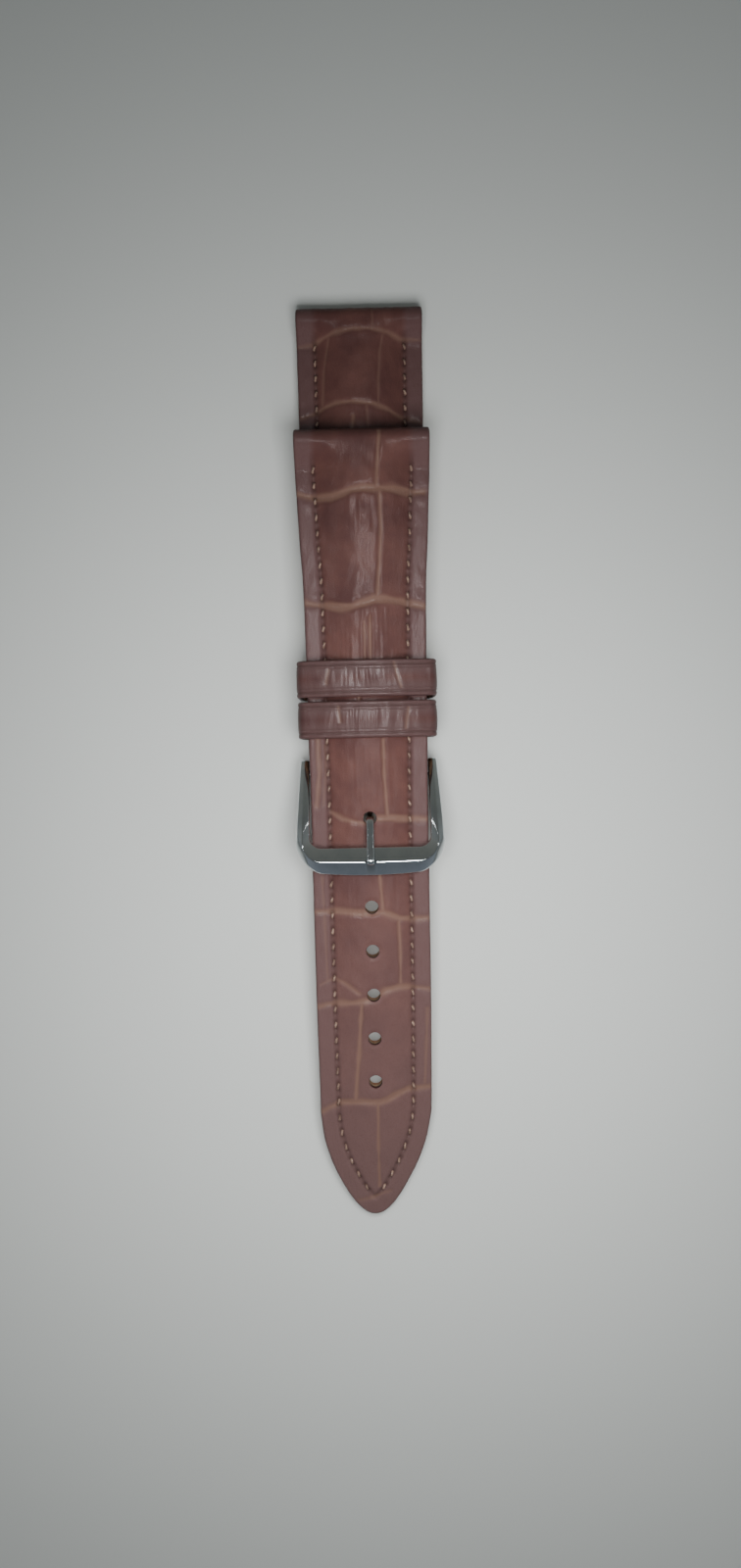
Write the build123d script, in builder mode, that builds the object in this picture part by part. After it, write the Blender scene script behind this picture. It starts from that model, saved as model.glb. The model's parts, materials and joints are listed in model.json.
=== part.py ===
from build123d import *
import os
from math import asin, atan2, cos, degrees, hypot, radians, sin, sqrt, tan

os.makedirs("parts", exist_ok=True)

# Plan sizes of the two straps, in millimetres
lug_width = 20.0
keeper_flare = 0.2
tip_width = 18.2
lug_straight = 8.0
short_length = 75.0
long_length = 125.0
tip_length = 17.0

# Adjustment holes in the long strap
hole_count = 7
hole_pitch = 7.0
hole_diameter = 2.1
last_hole_to_tip = 22.0
first_hole_from_hinge = 7.0

# The gentle bend in which the closed strap lies
bend_radius = 780.0
bend_apex_from_hinge = 24.3

# Leather layers and the leather turned round the spring bars
lining_thickness = 0.7
reinforcement_thickness = 0.3
upper_thickness = 1.0
lug_ring_radius = 2.0
lug_bore_radius = 1.0
hinge_loop_radius = 1.8
lug_ramp = 4.0
hinge_ramp = 5.0
short_crown = 1.8
long_crown = 1.9
strap_gap = 0.3
leather_clearance = 0.3
filler_margin = 0.4
layer_setback = 0.3
overrun = 1.5

# Stitching
seam_inset = 2.9
seam_start = 4.5
short_seam_end = 6.0
channel_width = 0.8
channel_depth = 0.35
channel_margin = 0.15
stitch_pitch = 2.5
stitch_length = 1.8
thread_width = 0.5
thread_height = 0.45
thread_gap = 0.04
stitch_tip_gap = 0.5
tip_samples = 400
tip_inset_steps = 16

# Keepers
keeper_length = 5.7
fixed_keeper_start = 5.7
keeper_spacing = 0.6
keeper_band_thickness = 0.7
keeper_lining_thickness = 0.4
keeper_corner_radius = 0.45
keeper_seat_gap = 0.02
keeper_travel = 10.0
keeper_stitch_spread = 5.0
keeper_stitch_length = 2.4

# Buckle frame
frame_inner_width = 18.9
frame_side_gap = 0.35
frame_arm_width = 1.4
frame_outer_width = 23.2
frame_bar_width = 16.0
frame_back = 2.3
frame_bar_start = 11.5
frame_bar_ridge = 13.8
frame_length = 15.9
frame_bar_thickness = 2.1
frame_bar_edge = 1.1
frame_bar_lip = 1.0
frame_arm_depth = 2.6
frame_arch = 0.7
frame_corner_radius = 2.2
frame_corner_depth = 4.8
frame_window_radius = 1.5
notch_depth = 0.4

# Tongue
tongue_width = 1.25
tongue_thickness = 0.9
tongue_lean = 80.0
tongue_below = 0.65
tongue_above = 0.75
tongue_overhang = 0.4
tongue_bend_radius = 0.8
tongue_gap = 0.05
eye_radius = 1.6
eye_width = 2.4
eye_notch_width = 3.0
eye_notch_depth = 2.6

# Spring bar
barrel_radius = 0.85
barrel_wall = 0.3
barrel_end_gap = 0.05
pivot_clearance = 0.05
tip_travel = 0.8
tip_collar_radius = 0.7
tip_collar_length = 0.4
tip_pin_radius = 0.4
tip_pin_grip = 0.75
tip_shank_length = 2.6
pin_hole_depth = 1.0
spring_wire_half = 0.14
spring_turns = 11

# Both straps fit between the frame's arms with a gap at each side, and widen towards the keepers
buckle_width = frame_inner_width - 2 * frame_side_gap
keeper_width = buckle_width + keeper_flare

# Places along Y, with the hinge towards the middle of the closed strap
first_hole_to_tip = (hole_count - 1) * hole_pitch + last_hole_to_tip
tip_from_hinge = first_hole_to_tip + first_hole_from_hinge
hinge_y = (tip_from_hinge - short_length) / 2
short_end_y = hinge_y + short_length
tip_y = hinge_y - tip_from_hinge
long_end_y = tip_y + long_length
first_hole_y = hinge_y - first_hole_from_hinge
last_hole_y = tip_y + last_hole_to_tip
arc_centre_y = hinge_y + bend_apex_from_hinge

# Heights over the short strap's back
slab_thickness = lining_thickness + reinforcement_thickness + upper_thickness
long_back = 2 * lug_ring_radius + strap_gap
keeper_thickness = keeper_band_thickness + keeper_lining_thickness

fixed_keeper_y = hinge_y + fixed_keeper_start + keeper_length / 2
floating_keeper_y = fixed_keeper_y + keeper_length + keeper_spacing
keeper_reach_y = floating_keeper_y + keeper_length / 2 + keeper_travel

# Half widths at places along each strap, from the lug end to the buckle or the tip
short_sides = (
    (short_end_y, lug_width / 2),
    (short_end_y - lug_straight, lug_width / 2),
    (keeper_reach_y, keeper_width / 2),
    (hinge_y + hinge_ramp, buckle_width / 2),
    (hinge_y - hinge_loop_radius, buckle_width / 2),
)
long_sides = (
    (long_end_y, lug_width / 2),
    (long_end_y - lug_straight, lug_width / 2),
    (keeper_reach_y, keeper_width / 2),
    (fixed_keeper_y, keeper_width / 2),
    (first_hole_y, buckle_width / 2),
    (tip_y + tip_length, tip_width / 2),
)

# The pointed tip, as shares of its length from the point and of its half width
tip_outline_shares = ((0.06, 0.20), (0.28, 0.53), (0.56, 0.835))

# Crown of each strap: share of the strap's length from the hinge or lug end, share of the crown's height,
# and share of the width between the seams
short_crown_shares = ((0.90, 0.95, 1.0), (0.6, 0.9, 1.0), (0.3, 0.8, 1.0), (0.08, 0.6, 1.0))
long_crown_shares = (
    (0.05, 1.00, 1.00),
    (0.12, 0.88, 1.00),
    (0.20, 0.60, 1.00),
    (0.36, 0.52, 1.00),
    (0.50, 0.32, 1.00),
    (0.83, 0.22, 1.00),
    (0.88, 0.20, 0.92),
    (0.92, 0.17, 0.62),
    (0.955, 0.11, 0.20),
)


def interpolate(table, y):
    """Value at y in a table of (y, value) pairs that runs from high y to low y."""
    for (y_high, value_high), (y_low, value_low) in zip(table, table[1:]):
        if y >= y_low:
            share = (y - y_low) / (y_high - y_low)
            return value_low + (value_high - value_low) * share
    return table[-1][1]


def drop(y, height):
    """How far a curved surface lies below the bend's apex on the short strap's back."""
    radius = bend_radius + height
    return bend_radius - sqrt(radius**2 - (y - arc_centre_y) ** 2)


# The closed strap stands on its lug end, its floating keeper and its tip
keeper_bottom = -leather_clearance - keeper_thickness
arc_centre_z = max(
    drop(short_end_y - lug_ring_radius, 0),
    drop(floating_keeper_y - keeper_length / 2, keeper_bottom),
    drop(tip_y, long_back),
) - bend_radius


def place(y, height):
    """Point of the YZ plane at this place along the strap and height over the short strap's back."""
    radius = bend_radius + height
    return (y, arc_centre_z + sqrt(radius**2 - (y - arc_centre_y) ** 2))


def tangent_plane(x, y, height):
    """Plane that touches the curved surface at a height, with X across the strap and Z outward."""
    tilt = asin((y - arc_centre_y) / (bend_radius + height))
    return Plane(origin=(x, *place(y, height)), x_dir=(1, 0, 0), z_dir=(0, sin(tilt), cos(tilt)))


def cross_plane(y, height):
    """Plane square to the strap at a height, with X across the strap and Y outward."""
    tilt = asin((y - arc_centre_y) / (bend_radius + height))
    return Plane(origin=(0, *place(y, height)), x_dir=(1, 0, 0), z_dir=(0, -cos(tilt), sin(tilt)))


hinge_z = place(hinge_y, hinge_loop_radius)[1]
short_ring_y = short_end_y - lug_ring_radius
long_ring_y = long_end_y - lug_ring_radius


def crown_stations(shares, start_y, length, sides, crown):
    """Places, half widths and rises of a strap's crown."""
    stations = []
    for along_share, rise_share, width_share in shares:
        y = start_y + length * along_share
        half = interpolate(sides, y) - seam_inset - channel_width / 2 - channel_margin
        stations.append((y, half * width_share, crown * rise_share))
    return stations


short_stations = crown_stations(short_crown_shares, hinge_y, short_length, short_sides, short_crown)
long_stations = crown_stations(long_crown_shares, long_end_y, -long_length, long_sides, long_crown)
long_rises = [(y, rise) for y, half, rise in long_stations]


def strap_outline(sides, end_y):
    """Draw a strap's straight-sided plan from its lug end to end_y."""
    points = [(half, y) for y, half in sides if y > end_y]
    points.append((interpolate(sides, end_y), end_y))
    with BuildLine() as edge:
        Polyline(*points, *[(-x, y) for x, y in reversed(points)], close=True)
    make_face(edge.edges())


def tip_half_line():
    """Draw the right-hand side of the pointed tip, from its shoulder to the point."""
    half = tip_width / 2
    points = [(half, tip_y + tip_length)]
    for along_share, half_share in reversed(tip_outline_shares):
        points.append((half * half_share, tip_y + tip_length * along_share))
    points.append((0, tip_y))
    return Spline(*points, tangents=((0, -1), (-1, 0)))


def long_outline():
    """Draw the long strap's plan with its pointed tip."""
    strap_outline(long_sides, tip_y + tip_length)
    with BuildLine() as edge:
        tip_half_line()
        mirror(about=Plane.YZ)
        Line((-tip_width / 2, tip_y + tip_length), (tip_width / 2, tip_y + tip_length))
    make_face(edge.edges())


def curved_band(low, high, mode=Mode.INTERSECT):
    """Keep, add or take away what lies between two curved surfaces of these heights."""
    with BuildSketch(Plane.YZ) as band:
        with Locations((arc_centre_y, arc_centre_z)):
            Circle(bend_radius + high)
            Circle(bend_radius + low, mode=Mode.SUBTRACT)
    extrude(band.sketch, amount=lug_width, both=True, mode=mode)


def crossbar(y, height, radius, length, mode=Mode.ADD):
    """A round bar across the strap, for a turned end or its bore."""
    with BuildSketch(Plane.YZ) as section:
        with Locations(place(y, height)):
            Circle(radius)
    extrude(section.sketch, amount=length / 2, both=True, mode=mode)


def end_ramp(ring_y, base, ring_radius, ramp_y, width):
    """The leather that rises from the flat strap at ramp_y to its turned end."""
    flat = base + slab_thickness
    with BuildSketch(Plane.YZ) as wedge:
        with BuildLine():
            Polyline(
                place(ring_y, base + 2 * ring_radius),
                place(ramp_y, flat),
                place(ramp_y, flat - upper_thickness / 2),
                place(ring_y, flat - upper_thickness / 2),
                close=True,
            )
        make_face()
    extrude(wedge.sketch, amount=width / 2, both=True)


def crown_loft(stations, base, root, margin=0, mode=Mode.ADD):
    """Loft the crowned pad over its stations, rooted below a curved surface and narrowed by a margin."""
    sections = []
    for y, full_half, rise in stations:
        half = full_half - margin
        with BuildSketch(cross_plane(y, base)) as section:
            with BuildLine():
                ThreePointArc((-half, 0), (0, rise), (half, 0))
                Polyline((half, 0), (half, -root), (-half, -root), (-half, 0))
            make_face()
        sections.append(section.sketch)
    loft(sections, mode=mode)


with BuildLine() as tip_line:
    tip_half_line()
tip_edge = tip_line.edges()[0]


def tip_inset(inset):
    """Right-hand edge of the pointed tip moved in by a distance, from its shoulder to the axis."""
    points = []
    for number in range(tip_inset_steps + 1):
        point = tip_edge.position_at(number / tip_inset_steps)
        heading = tip_edge.tangent_at(number / tip_inset_steps)
        x = point.X + heading.Y * inset
        y = point.Y - heading.X * inset
        if x <= 0:
            last_x, last_y = points[-1]
            points.append((0, last_y + (y - last_y) * last_x / (last_x - x)))
            break
        points.append((x, y))
    return points


def inset_plan(sides, inset, tip=False):
    """A strap's plan moved in by a distance, with its point if the strap has one."""
    right = [(half - inset, y) for y, half in sides]
    curve = tip_inset(inset) if tip else [right[-1], (0, right[-1][1])]
    with BuildSketch() as plan:
        with BuildLine() as edge:
            Polyline((0, right[0][1]), *right)
            if tip:
                Spline(*curve)
            else:
                Line(*curve)
            mirror(about=Plane.YZ)
        make_face(edge.edges())
    return plan.sketch


def seam_channel(sides, start_y, end_y, low, high, tip=False):
    """The channel that the stitches lie in, along both sides of the strap."""
    outer = inset_plan(sides, seam_inset - channel_width / 2, tip)
    inner = inset_plan(sides, seam_inset + channel_width / 2, tip)
    with BuildPart() as channel:
        with BuildSketch(Plane.XY.offset(-lug_width)):
            add(outer)
            add(inner, mode=Mode.SUBTRACT)
            with Locations((0, (start_y + end_y) / 2)):
                Rectangle(lug_width, start_y - end_y, mode=Mode.INTERSECT)
        extrude(amount=2 * lug_width)
        curved_band(low, high)
    return channel.part


def layer(outline, low, high):
    """Add one leather layer: a plan outline between two curved surfaces."""
    with BuildSketch(Plane.XY.offset(-lug_width)) as plan:
        add(outline)
    extrude(plan.sketch, amount=2 * lug_width)
    curved_band(low, high)


def trim_plan(outline, start_y, end_y):
    """The part of a plan outline between two places along the strap."""
    with BuildSketch() as plan:
        add(outline)
        with Locations((0, (start_y + end_y) / 2)):
            Rectangle(2 * lug_width, start_y - end_y, mode=Mode.INTERSECT)
    return plan.sketch


with BuildSketch() as short_plan:
    strap_outline(short_sides, hinge_y - hinge_loop_radius)
with BuildSketch() as long_plan:
    long_outline()
short_outline = short_plan.sketch
long_outline_face = long_plan.sketch
short_body = trim_plan(short_outline, short_ring_y, hinge_y)
short_under = trim_plan(short_outline, short_ring_y - layer_setback, hinge_y + layer_setback)
long_body = trim_plan(long_outline_face, long_ring_y, tip_y - overrun)
long_under = trim_plan(long_outline_face, long_ring_y - layer_setback, tip_y - overrun)

short_seam_start = short_end_y - seam_start
short_seam_end_y = hinge_y + short_seam_end
long_seam_start = long_end_y - seam_start
short_top = slab_thickness
long_top = long_back + slab_thickness
short_top_channel = seam_channel(
    short_sides, short_seam_start, short_seam_end_y, short_top - channel_depth, short_top + overrun
)
short_back_channel = seam_channel(
    short_sides, short_seam_start, short_seam_end_y, -overrun, channel_depth
)
long_top_channel = seam_channel(
    long_sides, long_seam_start, tip_y, long_top - channel_depth, long_top + overrun, tip=True
)
long_back_channel = seam_channel(
    long_sides, long_seam_start, tip_y, long_back - overrun, long_back + channel_depth, tip=True
)

# The holes step along the bend, so that each comes to the same place as the strap slides
hole_step = hole_pitch / (bend_radius + long_back)
first_hole_angle = asin((first_hole_y - arc_centre_y) / (bend_radius + long_back))
hole_ys = [
    arc_centre_y + (bend_radius + long_back) * sin(first_hole_angle - hole_step * number)
    for number in range(hole_count)
]


def punch_holes():
    """Punch the adjustment holes through a layer of the long strap."""
    with BuildSketch(*[tangent_plane(0, y, long_back) for y in hole_ys]) as holes:
        Circle(hole_diameter / 2)
    extrude(holes.sketch, amount=lug_width / 2, both=True, mode=Mode.SUBTRACT)


def cut_eye_notch():
    """Cut the notch for the tongue's eye in the short strap's turned end."""
    low_y = hinge_y - hinge_loop_radius - overrun
    high_y = hinge_y + eye_notch_depth
    with BuildSketch(Plane.XY.offset(-lug_width)) as notch:
        with Locations((0, (low_y + high_y) / 2)):
            Rectangle(eye_notch_width, high_y - low_y)
    extrude(notch.sketch, amount=2 * lug_width, mode=Mode.SUBTRACT)


# Short strap
with BuildPart() as short_upper:
    layer(short_body, short_top - upper_thickness, short_top)
    end_ramp(short_ring_y, 0, lug_ring_radius, short_ring_y - lug_ramp, lug_width)
    end_ramp(hinge_y, 0, hinge_loop_radius, hinge_y + hinge_ramp, buckle_width)
    crown_loft(short_stations, short_top, upper_thickness / 2)
    crossbar(short_ring_y, lug_ring_radius, lug_ring_radius, lug_width)
    crossbar(hinge_y, hinge_loop_radius, hinge_loop_radius, buckle_width)
    crown_loft(short_stations, short_top - upper_thickness, overrun, filler_margin, mode=Mode.SUBTRACT)
    crossbar(short_ring_y, lug_ring_radius, lug_bore_radius, lug_width, mode=Mode.SUBTRACT)
    crossbar(hinge_y, hinge_loop_radius, barrel_radius, buckle_width, mode=Mode.SUBTRACT)
    add(short_top_channel, mode=Mode.SUBTRACT)
    cut_eye_notch()
short_upper.part.label = "short_strap_upper"

with BuildPart() as short_filler:
    crown_loft(short_stations, short_top - upper_thickness, overrun, filler_margin)
    curved_band(short_top - upper_thickness, short_top + 2 * short_crown)
short_filler.part.label = "short_strap_filler"

with BuildPart() as short_reinforcement:
    layer(short_under, lining_thickness, lining_thickness + reinforcement_thickness)
    crossbar(short_ring_y, lug_ring_radius, lug_ring_radius, lug_width, mode=Mode.SUBTRACT)
    crossbar(hinge_y, hinge_loop_radius, hinge_loop_radius, buckle_width, mode=Mode.SUBTRACT)
    cut_eye_notch()
short_reinforcement.part.label = "short_strap_reinforcement"

with BuildPart() as short_lining:
    layer(short_under, 0, lining_thickness)
    crossbar(short_ring_y, lug_ring_radius, lug_ring_radius, lug_width, mode=Mode.SUBTRACT)
    crossbar(hinge_y, hinge_loop_radius, hinge_loop_radius, buckle_width, mode=Mode.SUBTRACT)
    add(short_back_channel, mode=Mode.SUBTRACT)
    cut_eye_notch()
short_lining.part.label = "short_strap_lining"

# Long strap
with BuildPart() as long_upper:
    layer(long_body, long_top - upper_thickness, long_top)
    end_ramp(long_ring_y, long_back, lug_ring_radius, long_ring_y - lug_ramp, lug_width)
    crown_loft(long_stations, long_top, upper_thickness / 2)
    crossbar(long_ring_y, long_back + lug_ring_radius, lug_ring_radius, lug_width)
    crown_loft(long_stations, long_top - upper_thickness, overrun, filler_margin, mode=Mode.SUBTRACT)
    crossbar(long_ring_y, long_back + lug_ring_radius, lug_bore_radius, lug_width, mode=Mode.SUBTRACT)
    add(long_top_channel, mode=Mode.SUBTRACT)
    punch_holes()
long_upper.part.label = "long_strap_upper"

with BuildPart() as long_filler:
    crown_loft(long_stations, long_top - upper_thickness, overrun, filler_margin)
    curved_band(long_top - upper_thickness, long_top + 2 * long_crown)
    punch_holes()
long_filler.part.label = "long_strap_filler"

with BuildPart() as long_reinforcement:
    layer(long_under, long_back + lining_thickness, long_back + lining_thickness + reinforcement_thickness)
    crossbar(long_ring_y, long_back + lug_ring_radius, lug_ring_radius, lug_width, mode=Mode.SUBTRACT)
    punch_holes()
long_reinforcement.part.label = "long_strap_reinforcement"

with BuildPart() as long_lining:
    layer(long_under, long_back, long_back + lining_thickness)
    crossbar(long_ring_y, long_back + lug_ring_radius, lug_ring_radius, lug_width, mode=Mode.SUBTRACT)
    add(long_back_channel, mode=Mode.SUBTRACT)
    punch_holes()
long_lining.part.label = "long_strap_lining"


def side_stitches(sides, start_y, end_y):
    """Places and directions of the stitches down the right-hand side of a strap."""
    stitches = []
    y = start_y - stitch_length
    while y > end_y + stitch_length / 2:
        x = interpolate(sides, y) - seam_inset
        stitches.append((x, y, 90.0))
        y -= stitch_pitch
    return stitches


def tip_stitches(first_y):
    """Places and directions of the stitches round the right-hand side of the pointed tip."""
    samples = [number / tip_samples for number in range(tip_samples + 1)]
    stitches = []
    walked = first_y - tip_y - tip_length
    last = None
    for share in samples:
        point = tip_edge.position_at(share)
        heading = tip_edge.tangent_at(share)
        x = point.X + heading.Y * seam_inset
        y = point.Y - heading.X * seam_inset
        if x < stitch_tip_gap:
            break
        if last:
            walked += hypot(x - last[0], y - last[1])
        last = (x, y)
        if walked >= stitch_pitch:
            walked -= stitch_pitch
            stitches.append((x, y, degrees(atan2(heading.Y, heading.X))))
    return stitches


short_stitches = side_stitches(short_sides, short_seam_start, short_seam_end_y)
long_side_stitches = side_stitches(long_sides, long_seam_start, tip_y + tip_length)
long_stitches = long_side_stitches + tip_stitches(long_side_stitches[-1][1])


def sew(stitches, height, thickness):
    """Lay a stitch at each place on both sides of the strap, rising from a curved surface."""
    planes = []
    for x, y, turn in stitches:
        planes.append(tangent_plane(x, y, height).rotated((0, 0, turn)))
        planes.append(tangent_plane(-x, y, height).rotated((0, 0, -turn)))
    with BuildSketch(*planes) as row:
        SlotOverall(stitch_length, thread_width)
    extrude(row.sketch, amount=thickness)


with BuildPart() as short_thread:
    sew(short_stitches, short_top - channel_depth + thread_gap, thread_height)
    sew(short_stitches, thread_gap, channel_depth - 2 * thread_gap)
short_thread.part.label = "short_strap_thread"

with BuildPart() as long_thread:
    sew(long_stitches, long_top - channel_depth + thread_gap, thread_height)
    sew(long_stitches, long_back + thread_gap, channel_depth - 2 * thread_gap)
long_thread.part.label = "long_strap_thread"


# Keepers
keeper_inner_half = keeper_width / 2 + leather_clearance
keeper_shoulder = long_top + leather_clearance
keeper_crown = long_top + interpolate(long_rises, keeper_reach_y) + leather_clearance


def keeper_opening(bottom):
    """Draw the space inside a keeper, flat below and arched above."""
    with BuildLine() as edge:
        Polyline(
            (-keeper_inner_half, keeper_shoulder),
            (-keeper_inner_half, bottom),
            (keeper_inner_half, bottom),
            (keeper_inner_half, keeper_shoulder),
        )
        ThreePointArc(
            (keeper_inner_half, keeper_shoulder), (0, keeper_crown), (-keeper_inner_half, keeper_shoulder)
        )
    make_face(edge.edges())


def keeper_ring(y, bottom, inner, outer):
    """One leather layer of a keeper, between two distances from the space inside it."""
    with BuildSketch() as outside:
        keeper_opening(bottom)
        fillet(outside.vertices(), radius=keeper_corner_radius)
        offset(amount=outer)
    with BuildSketch() as inside:
        keeper_opening(bottom)
        fillet(inside.vertices(), radius=keeper_corner_radius)
        if inner:
            offset(amount=inner)
    with BuildSketch(cross_plane(y, 0)) as ring:
        add(outside.sketch)
        add(inside.sketch, mode=Mode.SUBTRACT)
    extrude(ring.sketch, amount=keeper_length / 2, both=True)


def keeper_seam(y, bottom):
    """The stitches that close a keeper under the strap, sunk into the band."""
    seat = bottom - keeper_thickness
    planes = [tangent_plane(x, y, seat) for x in (-keeper_stitch_spread / 2, keeper_stitch_spread / 2)]
    turned = [plane.rotated((0, 0, 90)) for plane in planes]
    with BuildSketch(*turned) as seam:
        SlotOverall(keeper_stitch_length, thread_width)
    extrude(seam.sketch, amount=channel_depth)


keeper_seats = (
    ("fixed_keeper", fixed_keeper_y, -keeper_seat_gap),
    ("floating_keeper", floating_keeper_y, -leather_clearance),
)
for keeper_name, keeper_y, keeper_bottom_inside in keeper_seats:
    with BuildPart() as keeper_thread:
        keeper_seam(keeper_y, keeper_bottom_inside)
    keeper_thread.part.label = keeper_name + "_thread"
    with BuildPart() as keeper_band:
        keeper_ring(keeper_y, keeper_bottom_inside, keeper_lining_thickness, keeper_thickness)
        add(keeper_thread.part, mode=Mode.SUBTRACT)
    keeper_band.part.label = keeper_name + "_band"
    with BuildPart() as keeper_lining:
        keeper_ring(keeper_y, keeper_bottom_inside, 0, keeper_lining_thickness)
    keeper_lining.part.label = keeper_name + "_lining"
    for piece in (keeper_thread.part, keeper_band.part, keeper_lining.part):
        export_step(piece, f"parts/{piece.label}.step")


# Tongue: from its eye under the long strap, up through the hole and on to the frame's bar
bar_start_y = hinge_y - frame_bar_start
ridge_y = hinge_y - frame_bar_ridge
frame_end_y = hinge_y - frame_length
hole_back_z = place(first_hole_y, long_back)[1]
hole_top_z = place(first_hole_y, long_top + interpolate(long_rises, first_hole_y))[1]
hole_mid_z = (hole_back_z + hole_top_z) / 2
bar_low_z = place(bar_start_y, long_top + interpolate(long_rises, bar_start_y))[1] + leather_clearance
bar_top_z = bar_low_z + frame_bar_thickness
lean_share = 1 / tan(radians(tongue_lean))
tongue_low_z = hole_back_z - tongue_below
tongue_high_z = hole_top_z + tongue_above
tongue_low = (first_hole_y + (hole_mid_z - tongue_low_z) * lean_share, tongue_low_z)
tongue_high = (first_hole_y - (tongue_high_z - hole_mid_z) * lean_share, tongue_high_z)
ridge_rest_z = bar_top_z - notch_depth + tongue_gap + tongue_thickness / 2
tongue_slope = (ridge_rest_z - tongue_high_z) / (tongue_high[0] - ridge_y)
tongue_tip = (ridge_y - tongue_overhang, ridge_rest_z + tongue_slope * tongue_overhang)


def tongue_profile(thickness):
    """Draw the tongue's side view with a given thickness."""
    with BuildLine() as path:
        FilletPolyline((hinge_y, hinge_z), tongue_low, tongue_high, tongue_tip, radius=tongue_bend_radius)
    trace(path.edges(), line_width=thickness)


with BuildPart() as tongue:
    with BuildSketch(Plane.YZ):
        tongue_profile(tongue_thickness)
    extrude(amount=tongue_width / 2, both=True)
    crossbar(hinge_y, hinge_loop_radius, eye_radius, eye_width)
    crossbar(
        hinge_y, hinge_loop_radius, barrel_radius + pivot_clearance, eye_width, mode=Mode.SUBTRACT
    )
tongue.part.label = "buckle_tongue"

# Frame: arched arms and a ridged bar, cut from its side view by its plan
arm_half_depth = frame_arm_depth / 2
back_y = hinge_y + frame_back


def frame_side():
    """Draw the frame's side view: flat round the pivot, arched over the strap, ridged at the bar."""
    top_start = (back_y, hinge_z + arm_half_depth)
    low_start = (hinge_y - arm_half_depth, hinge_z - arm_half_depth)
    ridge = (ridge_y, bar_top_z)
    bar_corner = (bar_start_y, bar_low_z)
    top_middle = ((back_y + ridge_y) / 2, (top_start[1] + bar_top_z) / 2 + frame_arch)
    low_middle = ((low_start[0] + bar_start_y) / 2, (low_start[1] + bar_low_z) / 2 + frame_arch)
    with BuildLine() as edge:
        ThreePointArc(top_start, top_middle, ridge)
        Polyline(ridge, (frame_end_y, bar_low_z + frame_bar_edge), (frame_end_y, bar_low_z), bar_corner)
        ThreePointArc(bar_corner, low_middle, low_start)
        Polyline(low_start, (back_y, hinge_z - arm_half_depth), top_start)
    make_face(edge.edges())


def frame_plan():
    """Draw the frame's plan: arms that spread to rounded corners, open towards the keepers."""
    arm_half = frame_inner_width / 2 + frame_arm_width
    outer_half = frame_outer_width / 2
    with BuildLine() as edge:
        Polyline(
            (arm_half, back_y),
            (outer_half, frame_end_y + frame_corner_depth),
            (frame_bar_width / 2, frame_end_y),
            (-frame_bar_width / 2, frame_end_y),
            (-outer_half, frame_end_y + frame_corner_depth),
            (-arm_half, back_y),
            close=True,
        )
    plan = make_face(edge.edges())
    fillet(plan.vertices().group_by(Axis.Y)[0], radius=frame_corner_radius)
    fillet(plan.vertices().group_by(Axis.Y)[1], radius=frame_corner_radius)


def bar_slope():
    """Cut the slope from the bar's inner lip up to its ridge."""
    with BuildSketch(Plane.YZ) as wedge:
        with BuildLine():
            Polyline(
                (bar_start_y, bar_low_z + frame_bar_lip),
                (ridge_y, bar_top_z),
                (ridge_y, bar_top_z + overrun),
                (bar_start_y + overrun, bar_top_z + overrun),
                (bar_start_y + overrun, bar_low_z + frame_bar_lip),
                close=True,
            )
        make_face()
    extrude(wedge.sketch, amount=frame_inner_width / 2, both=True, mode=Mode.SUBTRACT)


with BuildPart() as frame:
    with BuildSketch():
        frame_plan()
    extrude(amount=2 * lug_width)
    with BuildSketch(Plane.YZ):
        frame_side()
    extrude(amount=frame_outer_width, both=True, mode=Mode.INTERSECT)
    with BuildSketch() as window:
        with Locations((0, (back_y + overrun + bar_start_y) / 2)):
            Rectangle(frame_inner_width, back_y + overrun - bar_start_y)
        fillet(window.vertices().group_by(Axis.Y)[0], radius=frame_window_radius)
    extrude(amount=2 * lug_width, mode=Mode.SUBTRACT)
    bar_slope()
    with BuildSketch(Plane.YZ):
        tongue_profile(tongue_thickness + 2 * tongue_gap)
    extrude(amount=tongue_width / 2 + tongue_gap, both=True, mode=Mode.SUBTRACT)
    pin_hole_length = frame_inner_width + 2 * pin_hole_depth
    crossbar(
        hinge_y, hinge_loop_radius, tip_pin_radius + pivot_clearance, pin_hole_length, mode=Mode.SUBTRACT
    )
frame.part.label = "buckle_frame"

# Spring bar: a barrel gripped by the short strap's loop, a coil spring and two sliding tips
bore_radius = barrel_radius - barrel_wall
shank_radius = bore_radius - pivot_clearance
collar_end_x = frame_inner_width / 2 - pivot_clearance
collar_start_x = collar_end_x - tip_collar_length
shank_end_x = collar_start_x - tip_shank_length
pin_end_x = frame_inner_width / 2 + tip_pin_grip
barrel_length = 2 * (collar_start_x - tip_travel - barrel_end_gap)

with BuildPart() as barrel:
    crossbar(hinge_y, hinge_loop_radius, barrel_radius, barrel_length)
    crossbar(hinge_y, hinge_loop_radius, bore_radius, barrel_length, mode=Mode.SUBTRACT)
barrel.part.label = "spring_bar_barrel"


def tip_step(side, radius, start_x, end_x):
    """One round step of a spring-bar tip."""
    with BuildSketch(Plane.YZ.offset(side * start_x)) as step:
        with Locations((hinge_y, hinge_z)):
            Circle(radius)
    extrude(step.sketch, amount=side * (end_x - start_x))


def spring_bar_tip(side):
    """A sliding tip with its shank, collar and pin."""
    with BuildPart() as slider:
        tip_step(side, shank_radius, shank_end_x, collar_start_x)
        tip_step(side, tip_collar_radius, collar_start_x, collar_end_x)
        tip_step(side, tip_pin_radius, collar_end_x, pin_end_x)
    return slider.part


left_tip = spring_bar_tip(-1)
left_tip.label = "spring_bar_tip_left"
right_tip = spring_bar_tip(1)
right_tip.label = "spring_bar_tip_right"

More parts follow.
